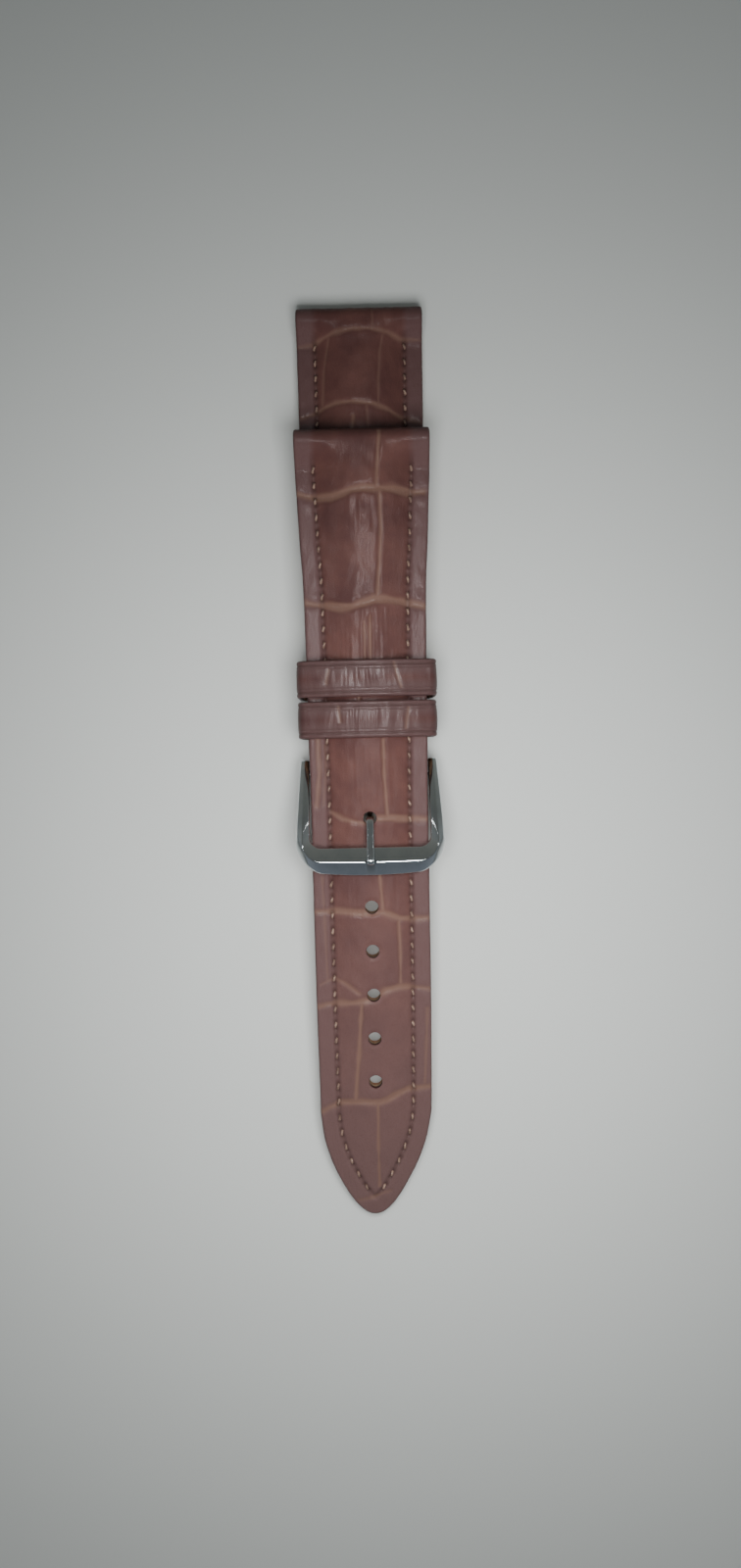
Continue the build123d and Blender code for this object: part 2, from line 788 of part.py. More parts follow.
coil_radius = bore_radius - pivot_clearance - spring_wire_half
coil_length = 2 * (shank_end_x - spring_wire_half)
coil_start = (-coil_length / 2, hinge_y, hinge_z)
with BuildPart() as spring:
    with BuildLine() as spring_line:
        Helix(coil_length / spring_turns, coil_length, coil_radius, center=coil_start, direction=(1, 0, 0))
    with BuildSketch(Plane(spring_line.line @ 0, x_dir=(0, 0, 1), z_dir=spring_line.line % 0)):
        Rectangle(2 * spring_wire_half, 2 * spring_wire_half)
    sweep(is_frenet=True)
spring.part.label = "spring_bar_spring"

finished = (
    short_upper.part,
    short_filler.part,
    short_reinforcement.part,
    short_lining.part,
    short_thread.part,
    long_upper.part,
    long_filler.part,
    long_reinforcement.part,
    long_lining.part,
    long_thread.part,
    tongue.part,
    frame.part,
    barrel.part,
    spring.part,
    left_tip,
    right_tip,
)
for piece in finished:
    export_step(piece, f"parts/{piece.label}.step")

coil_gap = coil_length / spring_turns - 2 * spring_wire_half
print("least gap between the spring's turns:", coil_gap)
print("hinge at", hinge_y, hinge_z, "bend centre at", arc_centre_y, arc_centre_z)
print("hole step, degrees:", degrees(hole_step))
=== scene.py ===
import bpy
import bmesh
import json
import math
import numpy as np
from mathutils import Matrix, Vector


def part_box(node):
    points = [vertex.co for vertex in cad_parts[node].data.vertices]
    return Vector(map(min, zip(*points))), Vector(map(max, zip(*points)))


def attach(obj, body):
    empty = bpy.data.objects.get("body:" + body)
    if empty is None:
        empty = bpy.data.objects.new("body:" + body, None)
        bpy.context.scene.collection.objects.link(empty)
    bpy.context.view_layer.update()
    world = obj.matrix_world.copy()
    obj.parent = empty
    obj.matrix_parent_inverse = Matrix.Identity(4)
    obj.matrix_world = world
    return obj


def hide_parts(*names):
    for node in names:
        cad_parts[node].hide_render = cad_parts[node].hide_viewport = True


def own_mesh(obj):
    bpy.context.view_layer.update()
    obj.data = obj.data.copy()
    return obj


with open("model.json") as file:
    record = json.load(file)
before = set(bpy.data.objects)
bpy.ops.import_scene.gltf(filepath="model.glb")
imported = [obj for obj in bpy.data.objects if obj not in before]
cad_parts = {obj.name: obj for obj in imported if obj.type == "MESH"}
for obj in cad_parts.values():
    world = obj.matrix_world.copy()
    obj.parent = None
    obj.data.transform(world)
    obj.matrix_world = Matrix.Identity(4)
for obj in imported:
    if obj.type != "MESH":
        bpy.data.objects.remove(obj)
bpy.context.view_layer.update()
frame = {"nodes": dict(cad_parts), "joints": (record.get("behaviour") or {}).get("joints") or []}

MM = 0.001

# Places taken from the frame: the buckle's hinge and the centre of the strap's gentle bend
JOINTS = {joint["name"]: joint for joint in frame["joints"]}
HINGE = [value / MM for value in JOINTS["buckle_fold"]["pos_m"]]
BEND_CENTRE = [value / MM for value in JOINTS["long_strap_slide"]["pos_m"]]
HINGE_LOOP = 1.8
BEND_RADIUS = math.hypot(HINGE[1] - BEND_CENTRE[1], HINGE[2] - BEND_CENTRE[2]) - HINGE_LOOP

# The photograph's frame and the camera that took it, in pixels and millimetres
PHOTO_SIZE = (756, 1600)
PHOTO_FOV = math.radians(67.3)
CAMERA_HEIGHT = 191.8
CAMERA_AT = (0.22, HINGE[1] - 1.68)
CAMERA_ROLL = math.radians(-1.29)

# Distances along the strap from the hinge, positive towards the lug ends
SHORT_END = 75.0
LONG_END = 54.0
TIP = -71.0
TIP_LENGTH = 17.0
TIP_LEAN = 0.45
LUG_RING = 2.0
LUG_BORE = 1.0
LUG_RAMP = 4.8
HINGE_RAMP = 5.0
BARREL = 0.87

# Heights over a strap's back
LINING = 0.7
STIFFENER = 1.0
SLAB = 2.0
LONG_BACK = 4.3
LAYER_GAP = 0.01

# Heights of the faces that the grooves were read off, over the short strap's back
SHORT_TOP = 3.3
LONG_TOP = LONG_BACK + 2.9

# Edges, stitching and holes
EDGE_ROUND = 0.42
SEAM_INSET = 2.9
SEAM_START = 4.5
SEAM_LOW_GAP = 6.0
SEAM_FADE = 0.4
SEAM_DEPTH = 0.22
SEAM_SPREAD = 0.42
PIT_DEPTH = 0.17
PIT_SPREAD = 0.3
CROWN_INSET = 3.4
CROWN_POWERS = (2.6, 1.25)
FIRST_STITCH = 1.8
STITCH_PITCH = 2.5
STITCH_LENGTH = 1.1
THREAD_RADIUS = 0.16
THREAD_RISE = 0.13
THREAD_DIVE = 0.5
PLY_DEPTH = 0.13
PLY_TWIST = 2.6
HOLE_RADIUS = 1.05
HOLE_PITCH = 7.0
HOLE_COUNT = 7
FIRST_HOLE = -7.0
HOLE_DIP = 0.09
HOLE_DIP_SPREAD = 0.35
TONGUE_DENT = 0.52
# Where the tongue's dent in the lining sets in and fades, from the first hole
DENT_START, DENT_END = (-1.2, -0.4), (1.6, 3.6)

# Waves, grain and wrinkles of the leather's face
RIPPLE_WAVES = 9
WAVE_DEPTH = 0.02
GRAIN_DEPTH = 0.006
LINING_WAVE_DEPTH = 0.012
WRINKLE_HALF = 4.5

# Crocodile grooves: how their width wanders, and how much weaker they are on the flat bands
GROOVE_DEPTH = 0.16
SHOULDER = 0.035
GROOVE_WANDER = 0.22
BAND_FADE = 0.3
KEEPER_GROOVE_SPREAD = 0.26

# Keepers: length, places from the hinge, the space inside them and their relief
KEEPER_LENGTH = 5.7
KEEPER_INNER_HALF = 9.7
KEEPER_CORNER = 0.45
KEEPER_LINING = 0.4
KEEPER_LINING_INSET = 0.08
KEEPER_BAND = 1.1
KEEPER_CLEARANCE = 0.3
KEEPER_CREST_AT = 27.7
KEEPER_EDGE = 0.28
KEEPER_DOME = 0.1
KEEPER_GROOVE_DEPTH = 0.13
# Depths of a keeper's waves, grain and wrinkles
KEEPER_RIPPLES = (0.03, 0.008, 0.04)
FIXED_KEEPER = 8.55
FLOATING_KEEPER = 14.85
KEEPER_ROWS = 300
# Creases along a keeper's edges: distance inward, width and strength, which sets both their depth and their
# painted shade
KEEPER_CREASES = ((0.75, 0.17, 1.0), (1.25, 0.12, 0.5))
KEEPER_STITCH_OFFSET = 2.5
KEEPER_STITCH_LENGTH = 2.4
KEEPER_THREAD_RADIUS = 0.17

# Meshes: steps along and across a strap's face and its inner layers, and which edges are sharp
ROW_STEP = 0.2
COLUMNS = 127
INNER_STEP = 0.4
FILLER_STEP = 0.6
TIP_FINE = 8.0
SHARP_ANGLE = 38.0
SOFT_ANGLE = 40.0

# Longer than any distance that is compared with it, and the lengths of the bars that cut holes and bores
FAR = 99.0
HOLE_CUT = 12.0
BORE_CUT = 40.0


def curve(*table):
    """A smooth function through (place, value) pairs given in rising order of place."""
    xs, ys = np.array(table, float).T
    slopes = np.diff(ys) / np.diff(xs)
    leans = np.zeros(len(xs))
    for i in range(1, len(xs) - 1):
        if slopes[i - 1] * slopes[i] > 0:
            leans[i] = 2 / (1 / slopes[i - 1] + 1 / slopes[i])
    leans[0], leans[-1] = slopes[0], slopes[-1]

    def at(x):
        x = np.clip(x, xs[0], xs[-1])
        i = np.clip(np.searchsorted(xs, x) - 1, 0, len(xs) - 2)
        span = xs[i + 1] - xs[i]
        t = (x - xs[i]) / span
        start = ys[i] * (1 + 2 * t) * (1 - t) ** 2 + leans[i] * span * t * (1 - t) ** 2
        end = ys[i + 1] * t**2 * (3 - 2 * t) - leans[i + 1] * span * t**2 * (1 - t)
        return start + end

    return at


def ease(x, low, high):
    """Rises smoothly from 0 at low to 1 at high."""
    t = np.clip((x - low) / (high - low), 0.0, 1.0)
    return t * t * (3 - 2 * t)


def bell(x, width, power=2):
    """A hump of unit height round 0, with a flatter top for a higher power."""
    return np.exp(-((x / width) ** power))


def edge_drop(d, radius):
    """How far a rounded edge falls below the flat, at a distance inward from it."""
    inward = np.clip(radius - d, 0.0, radius)
    return radius - np.sqrt(np.maximum(radius**2 - inward**2, 0.0))


def ripple(x, y, seed):
    """A smooth random surface of about unit height, whose features are about a unit wide."""
    rng = np.random.default_rng(seed)
    total = np.zeros(np.broadcast(x, y).shape)
    for _ in range(RIPPLE_WAVES):
        angle, phase = rng.uniform(0, 2 * math.pi, 2)
        rate = rng.uniform(2.0, 5.0)
        total += np.sin(rate * (x * math.cos(angle) + y * math.sin(angle)) + phase)
    return total / math.sqrt(RIPPLE_WAVES)


def bend(x, s, height):
    """Points of the bent strap, in millimetres: across it, along it from the hinge, and over its back."""
    x = x - TIP_LEAN * ease(-s, 50.0, 68.0)
    y = HINGE[1] + s
    z = BEND_CENTRE[2] + np.sqrt((BEND_RADIUS + height) ** 2 - (y - BEND_CENTRE[1]) ** 2)
    return np.stack(np.broadcast_arrays(x, y, z), axis=-1)


def from_photo(px, py, z):
    """Place across and along the strap that a pixel of the photograph shows at a height."""
    reach = (CAMERA_HEIGHT - z) * math.tan(PHOTO_FOV / 2) / (PHOTO_SIZE[1] / 2)
    right = (px - PHOTO_SIZE[0] / 2) * reach
    up = (PHOTO_SIZE[1] / 2 - py) * reach
    turn_cos, turn_sin = math.cos(CAMERA_ROLL), math.sin(CAMERA_ROLL)
    x = CAMERA_AT[0] + right * turn_cos - up * turn_sin
    y = CAMERA_AT[1] + right * turn_sin + up * turn_cos
    return x, y - HINGE[1]


def read_line(pixels, height):
    """A line read off the photograph, as places on a surface this high over the short strap's back."""
    line = []
    for px, py in pixels:
        x, s = from_photo(px, py, height)
        x, s = from_photo(px, py, float(bend(0.0, s, height)[2]))
        line.append((x, s))
    return line


# Camera
camera_data = bpy.data.cameras.new("camera")
camera_data.sensor_fit = "AUTO"
camera_data.sensor_width = 36.0
camera_data.lens = camera_data.sensor_width / 2 / math.tan(PHOTO_FOV / 2)
camera_data.clip_start = 0.01
camera = bpy.data.objects.new("camera", camera_data)
camera.location = (CAMERA_AT[0] * MM, CAMERA_AT[1] * MM, CAMERA_HEIGHT * MM)
camera.rotation_euler = (0.0, 0.0, CAMERA_ROLL)
bpy.context.scene.collection.objects.link(camera)
bpy.context.scene.camera = camera

# Half widths along the straps
tip_share = curve((0.0, 0.0), (0.245, 0.245), (0.529, 0.555), (0.748, 0.81), (0.88, 0.935), (1.0, 1.0))
short_half = curve((-2.0, 8.9), (5.0, 8.95), (18.0, 9.2), (30.0, 9.4), (57.0, 9.97), (75.0, 10.15))
long_side = curve(
    (-54.0, 8.85), (-33.0, 9.1), (-16.0, 9.16), (-3.0, 9.2), (6.0, 9.33), (18.0, 9.42),
    (21.0, 9.47), (30.0, 9.66), (36.0, 10.03), (42.0, 10.3), (47.0, 10.55), (54.0, 10.65),
)


def long_half(s):
    """Half width of the long strap, whose point narrows over the last part."""
    share = np.sqrt(np.clip((s - TIP) / TIP_LENGTH, 0.0, 1.0))
    return long_side(s) * tip_share(share)


# Crown of the padding over the flat bands: rise at places along each strap
short_rise = curve((4.0, 0.7), (8.0, 1.08), (22.0, 1.44), (45.0, 1.62), (67.5, 1.71), (75.0, 1.71))
long_rise = curve(
    (-66.0, 0.0), (-62.5, 0.18), (-59.0, 0.32), (-50.0, 0.42), (-8.0, 0.62), (9.0, 0.99), (29.0, 1.14),
    (39.0, 1.67), (47.0, 1.9), (54.0, 1.9),
)

# Crocodile grooves read off the photograph: how wide and how strong each is, then its pixels
SHORT_GROOVES = [
    (0.40, 0.5, [(303, 352), (318, 350), (328, 345), (340, 340), (360, 336.5), (378, 336.5), (395, 339),
                  (408, 344), (430, 345)]),
    (0.42, 0.6, [(303, 426), (318, 421), (330, 415), (343, 411), (360, 410), (380, 412), (395, 417),
                  (410, 424), (431, 429)]),
    (0.24, 0.35, [(335, 345), (332.5, 360), (330, 378), (329, 412)]),
    (0.24, 0.35, [(390, 342), (387, 360), (386, 385), (386, 412)]),
    (0.24, 0.30, [(379, 316), (380, 328), (379, 336)]),
    (0.24, 0.30, [(374, 414), (375.5, 436)]),
]
LONG_GROOVES = [
    (0.58, 1.00, [(301, 502), (311, 505), (322, 507), (338, 507.5), (348, 505), (358, 501), (370, 499.5),
                  (384, 499), (400, 500), (432, 501)]),
    (0.58, 1.00, [(309, 614), (320, 616.5), (333, 618), (345, 619), (360, 619), (372, 615.5), (382, 612),
                  (394, 611.5), (409, 613), (435, 618)]),
    (0.26, 0.80, [(386.5, 440), (385, 470), (384, 497)]),
    (0.26, 0.70, [(387, 503), (388.5, 542), (387, 575), (385, 610)]),
    (0.22, 0.55, [(371.5, 634), (372, 650), (372.5, 674)]),
    (0.22, 0.70, [(377.5, 628), (377.5, 650), (378, 674)]),
    (0.26, 0.75, [(391, 755), (392, 790), (395.5, 833)]),
    (0.45, 0.75, [(324, 755), (325.5, 790), (323, 822)]),
    (0.22, 0.40, [(331.5, 760), (332, 790), (330, 822)]),
    (0.42, 0.60, [(338, 829), (350, 836), (362, 838.5), (376, 841)]),
    (0.48, 0.90, [(387, 835.5), (400, 834.5), (415, 835.5), (441, 836)]),
    (0.30, 0.70, [(387, 890), (389, 910), (391, 931)]),
    (0.48, 0.85, [(320, 931), (333, 931), (345, 930.5), (368, 932), (391, 931.5), (400, 934), (408, 937),
                  (422, 937.5), (440, 937)]),
    (0.28, 0.65, [(407, 941), (408.5, 970), (409, 1003)]),
    (0.26, 0.45, [(328.5, 894), (331, 940), (334, 1000)]),
    (0.34, 0.50, [(327, 1006), (334, 1002), (341, 999), (352, 1004), (367, 1015)]),
    (0.48, 0.80, [(325, 1029), (334, 1026), (346, 1024.5), (360, 1024), (373, 1022), (384, 1017),
                  (394, 1011), (407, 1007.5), (420, 1008), (440, 1010)]),
    (0.30, 0.75, [(369, 1027), (366.5, 1075), (363, 1123)]),
    (0.30, 0.60, [(436.5, 1030), (435.5, 1060), (434, 1106)]),
    (0.50, 0.85, [(329, 1136), (337, 1131), (350, 1126), (370, 1125.5), (388, 1125.5), (396, 1123),
                  (406, 1117), (417, 1112), (438, 1110)]),
    (0.26, 0.65, [(386, 1128), (387.5, 1165), (390.5, 1212)]),
    (0.36, 0.55, [(370, 1227), (384, 1224), (401, 1217)]),
]
# Those that the photograph hides, under the long strap, the keepers and the buckle
SHORT_HIDDEN = [
    (0.44, 0.8, [(-10, 45.6), (-5, 46.6), (0, 45.4), (5, 46.2), (10, 45.0)]),
    (0.44, 0.8, [(-10, 31.5), (-4, 32.6), (2, 31.2), (10, 32.0)]),
    (0.44, 0.8, [(-10, 18.0), (-3, 17.1), (4, 18.4), (10, 17.6)]),
    (0.26, 0.6, [(-1.2, 57.0), (-1.5, 52.0), (-1.2, 46.4)]),
    (0.26, 0.6, [(0.8, 45.4), (0.3, 38.0), (0.9, 31.4)]),
    (0.26, 0.6, [(-4.4, 31.9), (-4.0, 25.0), (-4.3, 17.4)]),
    (0.26, 0.6, [(3.8, 31.3), (4.2, 24.0), (3.9, 18.2)]),
    (0.26, 0.6, [(-0.6, 17.4), (-0.2, 10.0), (-0.5, 4.0)]),
]
LONG_HIDDEN = [
    (0.44, 0.8, [(-10, 8.1), (-4, 8.9), (2, 8.0), (10, 8.6)]),
    (0.26, 0.6, [(-1.2, 17.0), (-1.3, 8.5)]),
]


def read_grooves(rows, height):
    """Grooves read off the photograph, with their places on a surface over the short strap's back."""
    return [(spread, strength, read_line(line, height)) for spread, strength, line in rows]


short_grooves = read_grooves(SHORT_GROOVES, SHORT_TOP) + SHORT_HIDDEN
long_grooves = read_grooves(LONG_GROOVES, LONG_TOP) + LONG_HIDDEN


def line_distance(x, s, lines):
    """Distance from points of a plan to the nearest of some lines."""
    nearest = np.full(x.shape, FAR)
    for line in lines:
        for (ax, ay), (bx, by) in zip(line, line[1:]):
            dx, dy = bx - ax, by - ay
            along = np.clip(((x - ax) * dx + (s - ay) * dy) / (dx * dx + dy * dy), 0.0, 1.0)
            nearest = np.minimum(nearest, np.hypot(x - ax - along * dx, s - ay - along * dy))
    return nearest


def tip_places(count):
    """Places along the pointed end, closer together towards its tip."""
    return TIP + TIP_LENGTH * 1.6 * np.linspace(0, 1, count) ** 2


def edge_distance(x, s, half):
    """Distance inward from a strap's outline, with the point's own outline near the tip."""
    side = half(s) - np.abs(x)
    if half is not long_half:
        return side
    near = s < TIP + TIP_LENGTH + 4
    ts = tip_places(260)
    side = side.copy()
    side[near] = line_distance(np.abs(x[near]), s[near], [list(zip(long_half(ts), ts))])
    return side


def inset_line(inset):
    """The pointed tip's outline moved in by a distance, as places and half widths."""
    ts = tip_places(400)
    xs = long_half(ts)
    slope_x, slope_s = np.gradient(xs), np.gradient(ts)
    size = np.hypot(slope_x, slope_s)
    in_x = xs - inset * slope_s / size
    in_s = ts + inset * slope_x / size
    inside = in_x > 0
    return in_s[inside], in_x[inside]


def inset_half(s, half):
    """Half width of the crowned area, whose outline runs inside the seam."""
    straight = half(s) - CROWN_INSET
    if half is not long_half:
        return straight
    tip = np.interp(s, *inset_line(CROWN_INSET), left=0.0)
    return np.where(s < TIP + TIP_LENGTH * 1.3, np.minimum(tip, straight), straight)


def stitch_places(strap):
    """Places and headings of the stitches down the right-hand side of a strap."""
    s = strap.high - SEAM_START - FIRST_STITCH
    last = strap.low + SEAM_LOW_GAP if strap.folded else TIP + TIP_LENGTH
    places = []
    while s > last + STITCH_LENGTH / 2:
        slope = strap.half(s + 0.5) - strap.half(s - 0.5)
        places.append((float(strap.half(s)) - SEAM_INSET, s, math.atan2(1.0, float(slope))))
        s -= STITCH_PITCH
    if not strap.folded:
        in_s, in_x = inset_line(SEAM_INSET)
        order = np.argsort(-in_s)
        in_s, in_x = in_s[order], in_x[order]
        walked = places[-1][1] - TIP - TIP_LENGTH
        keep = in_s < TIP + TIP_LENGTH
        in_s, in_x = in_s[keep], in_x[keep]
        for n in range(1, len(in_s)):
            step_x, step_s = in_x[n] - in_x[n - 1], in_s[n] - in_s[n - 1]
            walked += math.hypot(step_x, step_s)
            if walked >= STITCH_PITCH and in_x[n] > 0.5:
                walked -= STITCH_PITCH
                places.append((float(in_x[n]), float(in_s[n]), math.atan2(-step_s, -step_x)))
    return places


def stitch_ends(strap):
    """Places where the stitches on both sides dive into the leather."""
    ends = []
    for x, s, heading in stitch_places(strap):
        for end in (-1, 1):
            along = end * (STITCH_LENGTH / 2 + 0.02)
            for side in (-1, 1):
                ends.append((side * (x + along * math.cos(heading)), s + along * math.sin(heading)))
    return ends


class Strap:
    """One strap's shape: its outline, crown, grooves and seam. The short one is folded at its low end too."""

    def __init__(self, back, half, rise, grooves, wrinkles, low, high, seed):
        self.back, self.half, self.rise = back, half, rise
        self.grooves, self.wrinkles = grooves, wrinkles
        self.low, self.high, self.seed = low, high, seed
        self.folded = back == 0
        self.seam_low = low + SEAM_LOW_GAP if self.folded else low
        self.seam_high = high - SEAM_START - SEAM_FADE
        self.pits = stitch_ends(self)

    def lift_at_ends(self, s):
        """How far the leather over a turned end rises from the flat band."""
        lug = 2 * LUG_RING - SLAB
        rise = lug * ease(s, self.high - LUG_RING - LUG_RAMP, self.high - LUG_RING)
        if self.folded:
            hinge = 2 * HINGE_LOOP - SLAB
            rise = rise + hinge * (1 - ease(s, 0.0, HINGE_RAMP))
        return rise

    def crown(self, x, s):
        """Rise of the padded middle over the flat bands."""
        half = np.maximum(inset_half(s, self.half), 0.05)
        t = np.clip(np.abs(x) / half, 0.0, 1.0)
        hump = (1 - t ** CROWN_POWERS[0]) ** CROWN_POWERS[1]
        free = 1 - self.lift_at_ends(s) / (2 * LUG_RING - SLAB)
        return self.rise(s) * hump * np.clip(free, 0.0, 1.0)

    def seam(self, x, s, depth):
        """Depth of the valley that the stitches pull along the seam."""
        d = edge_distance(x, s, self.half)
        present = ease(s, self.seam_low - 0.6, self.seam_low + 0.4) * (
            1 - ease(s, self.seam_high, self.seam_high + 1.2)
        )
        return depth * bell(d - SEAM_INSET, SEAM_SPREAD) * present

    def face(self, x, s):
        """Height of the top over the slab, how deep in a groove a point lies, how near the edge, and its
        painted seam shade.
        """
        d = edge_distance(x, s, self.half)
        groove = np.zeros(x.shape)
        shoulder = np.zeros(x.shape)
        fade = 1 - BAND_FADE * ease(-d, -SEAM_INSET, -SEAM_INSET + 0.8)
        for spread, strength, line in self.grooves:
            away = line_distance(x, s, [line])
            width = spread * (1 + GROOVE_WANDER * ripple(x * 0.5, s * 0.5, int(spread * 100) + self.seed))
            groove = np.maximum(groove, strength * bell(away, width))
            shoulder = np.maximum(shoulder, strength * bell(away - 2.2 * spread, 1.4 * spread))
        groove = groove * fade
        height = self.crown(x, s) - self.seam(x, s, SEAM_DEPTH) - GROOVE_DEPTH * groove + SHOULDER * shoulder
        height = height + WAVE_DEPTH * ripple(x * 0.9, s * 0.5, self.seed)
        height = height + GRAIN_DEPTH * ripple(x * 4.0, s * 1.2, self.seed + 1)
        middle = bell(x, WRINKLE_HALF, 4)
        for start, end, depth in self.wrinkles:
            zone = ease(s, start - 1.5, start) * (1 - ease(s, end, end + 0.6)) * middle
            height = height + depth * zone * ripple(x * 2.1, s * 0.16, self.seed + 2)
        if not self.folded:
            for number in range(HOLE_COUNT):
                reach = np.hypot(x, s - (FIRST_HOLE - number * HOLE_PITCH))
                height = height - HOLE_DIP * bell(np.maximum(reach - HOLE_RADIUS, 0), HOLE_DIP_SPREAD)
        pit = np.zeros(x.shape)
        near = np.abs(d - SEAM_INSET) < 0.9
        near_x, near_s = x[near], s[near]
        reach = np.full(near_x.shape, FAR)
        for pit_x, pit_s in self.pits:
            reach = np.minimum(reach, np.hypot(near_x - pit_x, near_s - pit_s))
        pit[near] = bell(reach, PIT_SPREAD)
        # Painted shade: the seam's valley and the needle pits get a darker colour, where shade falls
        painted_seam_shade = 0.55 * self.seam(x, s, 1.0) + 0.8 * pit
        return height - PIT_DEPTH * pit - edge_drop(d, EDGE_ROUND), groove, d, painted_seam_shade


# Places where fine wrinkles run along the strap: start, end and depth
SHORT_WRINKLES = [(56.0, 59.0, 0.02), (38.0, 44.0, 0.02)]
LONG_WRINKLES = [(38.5, 43.0, 0.025), (17.0, 25.5, 0.032), (-4.0, 4.5, 0.02), (-22.0, -16.5, 0.02)]
short = Strap(0.0, short_half, short_rise, short_grooves, SHORT_WRINKLES, 0.0, SHORT_END, 11)
long = Strap(LONG_BACK, long_half, long_rise, long_grooves, LONG_WRINKLES, TIP, LONG_END, 23)


def spread_columns(count):
    """Shares of the half width, closer together near the edges."""
    v = np.linspace(-1.0, 1.0, count)
    return v * (1.28 - 0.28 * v * v)


def with_tip(s, tip, count, step):
    """Places along the long strap, closer together near its tip."""
    tip_s = tip + TIP_FINE * np.linspace(0, 1, count) ** 2
    return np.concatenate([tip_s, s[s > tip_s[-1] + step / 2]])


def ring_arc(centre, radius, start, end, count):
    """Points and outward directions round a turned end, in the plane along the strap."""
    angles = np.radians(np.linspace(start, end, count))
    normal = np.stack([np.cos(angles), np.sin(angles)], axis=1)
    return np.array([centre, radius]) + radius * normal, normal


def strap_profile(strap):
    """The top face's line along the strap and round its turned ends: places, directions, flat part."""
    flat_low = strap.low if strap.folded else TIP + 0.02
    flat_high = strap.high - LUG_RING
    flat_s = np.arange(flat_low, flat_high, ROW_STEP)[:-1]
    if not strap.folded:
        flat_s = with_tip(flat_s, TIP + 0.01, 60, ROW_STEP)
    flat_h = SLAB + strap.lift_at_ends(flat_s)
    slope = np.gradient(flat_h, flat_s)
    size = np.hypot(slope, 1.0)
    places = [np.stack([flat_s, flat_h], axis=1)]
    normals = [np.stack([-slope / size, 1 / size], axis=1)]
    start = 0
    if strap.folded:
        ring, turn = ring_arc(strap.low, HINGE_LOOP, 328.0, 92.0, 40)
        places.insert(0, ring)
        normals.insert(0, turn)
        start = len(ring)
    ring, turn = ring_arc(flat_high, LUG_RING, 88.0, -148.0, 44)
    places.append(ring)
    normals.append(turn)
    return np.concatenate(places), np.concatenate(normals), (start, start + len(flat_s))


def smooth(mesh, angle=SHARP_ANGLE):
    """Smooth faces, with sharp edges where they turn by more than an angle."""
    mesh.polygons.foreach_set("use_smooth", [True] * len(mesh.polygons))
    mesh.set_sharp_from_angle(angle=math.radians(angle))


def make_object(name, vertices, faces, attributes=(), angle=SHARP_ANGLE):
    """A smooth mesh object from vertices in millimetres, with outward faces and named point attributes."""
    mesh = bpy.data.meshes.new(name)
    mesh.from_pydata((np.asarray(vertices) * MM).tolist(), [], [list(map(int, face)) for face in faces])
    for label, values in attributes:
        values = np.asarray(values, float)
        kind, key = ("FLOAT_VECTOR", "vector") if values.ndim == 2 else ("FLOAT", "value")
        mesh.attributes.new(label, kind, "POINT").data.foreach_set(key, values.ravel())
    work = bmesh.new()
    work.from_mesh(mesh)
    bmesh.ops.recalc_face_normals(work, faces=work.faces)
    work.to_mesh(mesh)
    work.free()
    smooth(mesh, angle)
    piece = bpy.data.objects.new(name, mesh)
    bpy.context.scene.collection.objects.link(piece)
    return piece


def strip(first, second):
    """Faces between two rows of point numbers."""
    return list(zip(first, first[1:], second[1:], second))


def sheet(ids, closed=False):
    """Faces between all rows of a grid of point numbers, whose rows may close on themselves."""
    if closed:
        ids = np.column_stack([ids, ids[:, 0]])
    return [face for row, after in zip(ids, ids[1:]) for face in strip(row, after)]


def number_grid(shape, first=0):
    """Point numbers laid out in rows and columns."""
    return first + np.arange(shape[0] * shape[1]).reshape(shape)


def coordinate_rows(x, s, height):
    """Points of a grid as rows of three coordinates."""
    return np.stack(np.broadcast_arrays(x, s, height), axis=-1).reshape(-1, 3)


def upper_layer(name, strap):
    """The outer leather: its top face and turned ends, its underside, and its cut sides."""
    line, normal, (flat_start, flat_end) = strap_profile(strap)
    s, h = line[:, :1], line[:, 1:]
    face_s = np.clip(s, strap.low, strap.high)
    x = spread_columns(COLUMNS) * strap.half(face_s)
    height, groove, d, painted_seam_shade = strap.face(x, face_s + 0 * x)
    normal[flat_start:flat_end] = (0.0, 1.0)
    outer_s = s + normal[:, :1] * height
    outer_h = h + normal[:, 1:] * height
    flat_x = x[flat_start:flat_end]
    flat_s = s[flat_start:flat_end] + 0 * flat_x
    under_h = STIFFENER + np.maximum(strap.crown(flat_x, flat_s) - 0.03, 0.0)
    outer_ids = number_grid(x.shape)
    under_ids = number_grid(flat_x.shape, x.size)
    faces = sheet(outer_ids) + sheet(under_ids)
    faces += strip(outer_ids[-1], under_ids[-1]) + strip(outer_ids[0], under_ids[0])
    hubs = []
    for column in (0, -1):
        faces += strip(outer_ids[flat_start:flat_end, column], under_ids[:, column])
        ends = [(flat_end - 1, len(x), strap.high - LUG_RING, LUG_RING, under_ids[-1][column])]
        if strap.folded:
            ends.append((0, flat_start + 1, strap.low, HINGE_LOOP, under_ids[0][column]))
        for first, last, centre, radius, below in ends:
            side = outer_ids[first:last, column]
            edge_x = float(x[first if first else flat_start, column])
            hub = x.size + flat_x.size + len(hubs)
            hubs.append(bend(edge_x, centre, strap.back + radius))
            faces += [(hub, a, b) for a, b in zip(side, side[1:])]
            far, near = (side[-1], side[0]) if first else (side[0], side[-1])
            faces += [(hub, far, below), (hub, below, near)]
    points = np.concatenate([
        bend(x, outer_s, strap.back + outer_h).reshape(-1, 3),
        bend(flat_x, flat_s, strap.back + under_h).reshape(-1, 3),
        hubs,
    ])
    place = np.concatenate([
        coordinate_rows(x, outer_s, outer_h + strap.seed),
        coordinate_rows(flat_x, flat_s, under_h + strap.seed),
        np.zeros((len(hubs), 3)),
    ])
    shade = [("place", place)]
    # The edge attribute also sets the flat bands' painted sheen; the seam attribute carries painted shade
    # along the seam and in its pits
    for label, values in (("groove", groove), ("edge", np.minimum(d, 9.0)), ("seam", painted_seam_shade)):
        shade.append((label, np.concatenate([values.ravel(), np.zeros(flat_x.size + len(hubs))])))
    return make_object(name, points, faces, shade, SOFT_ANGLE)


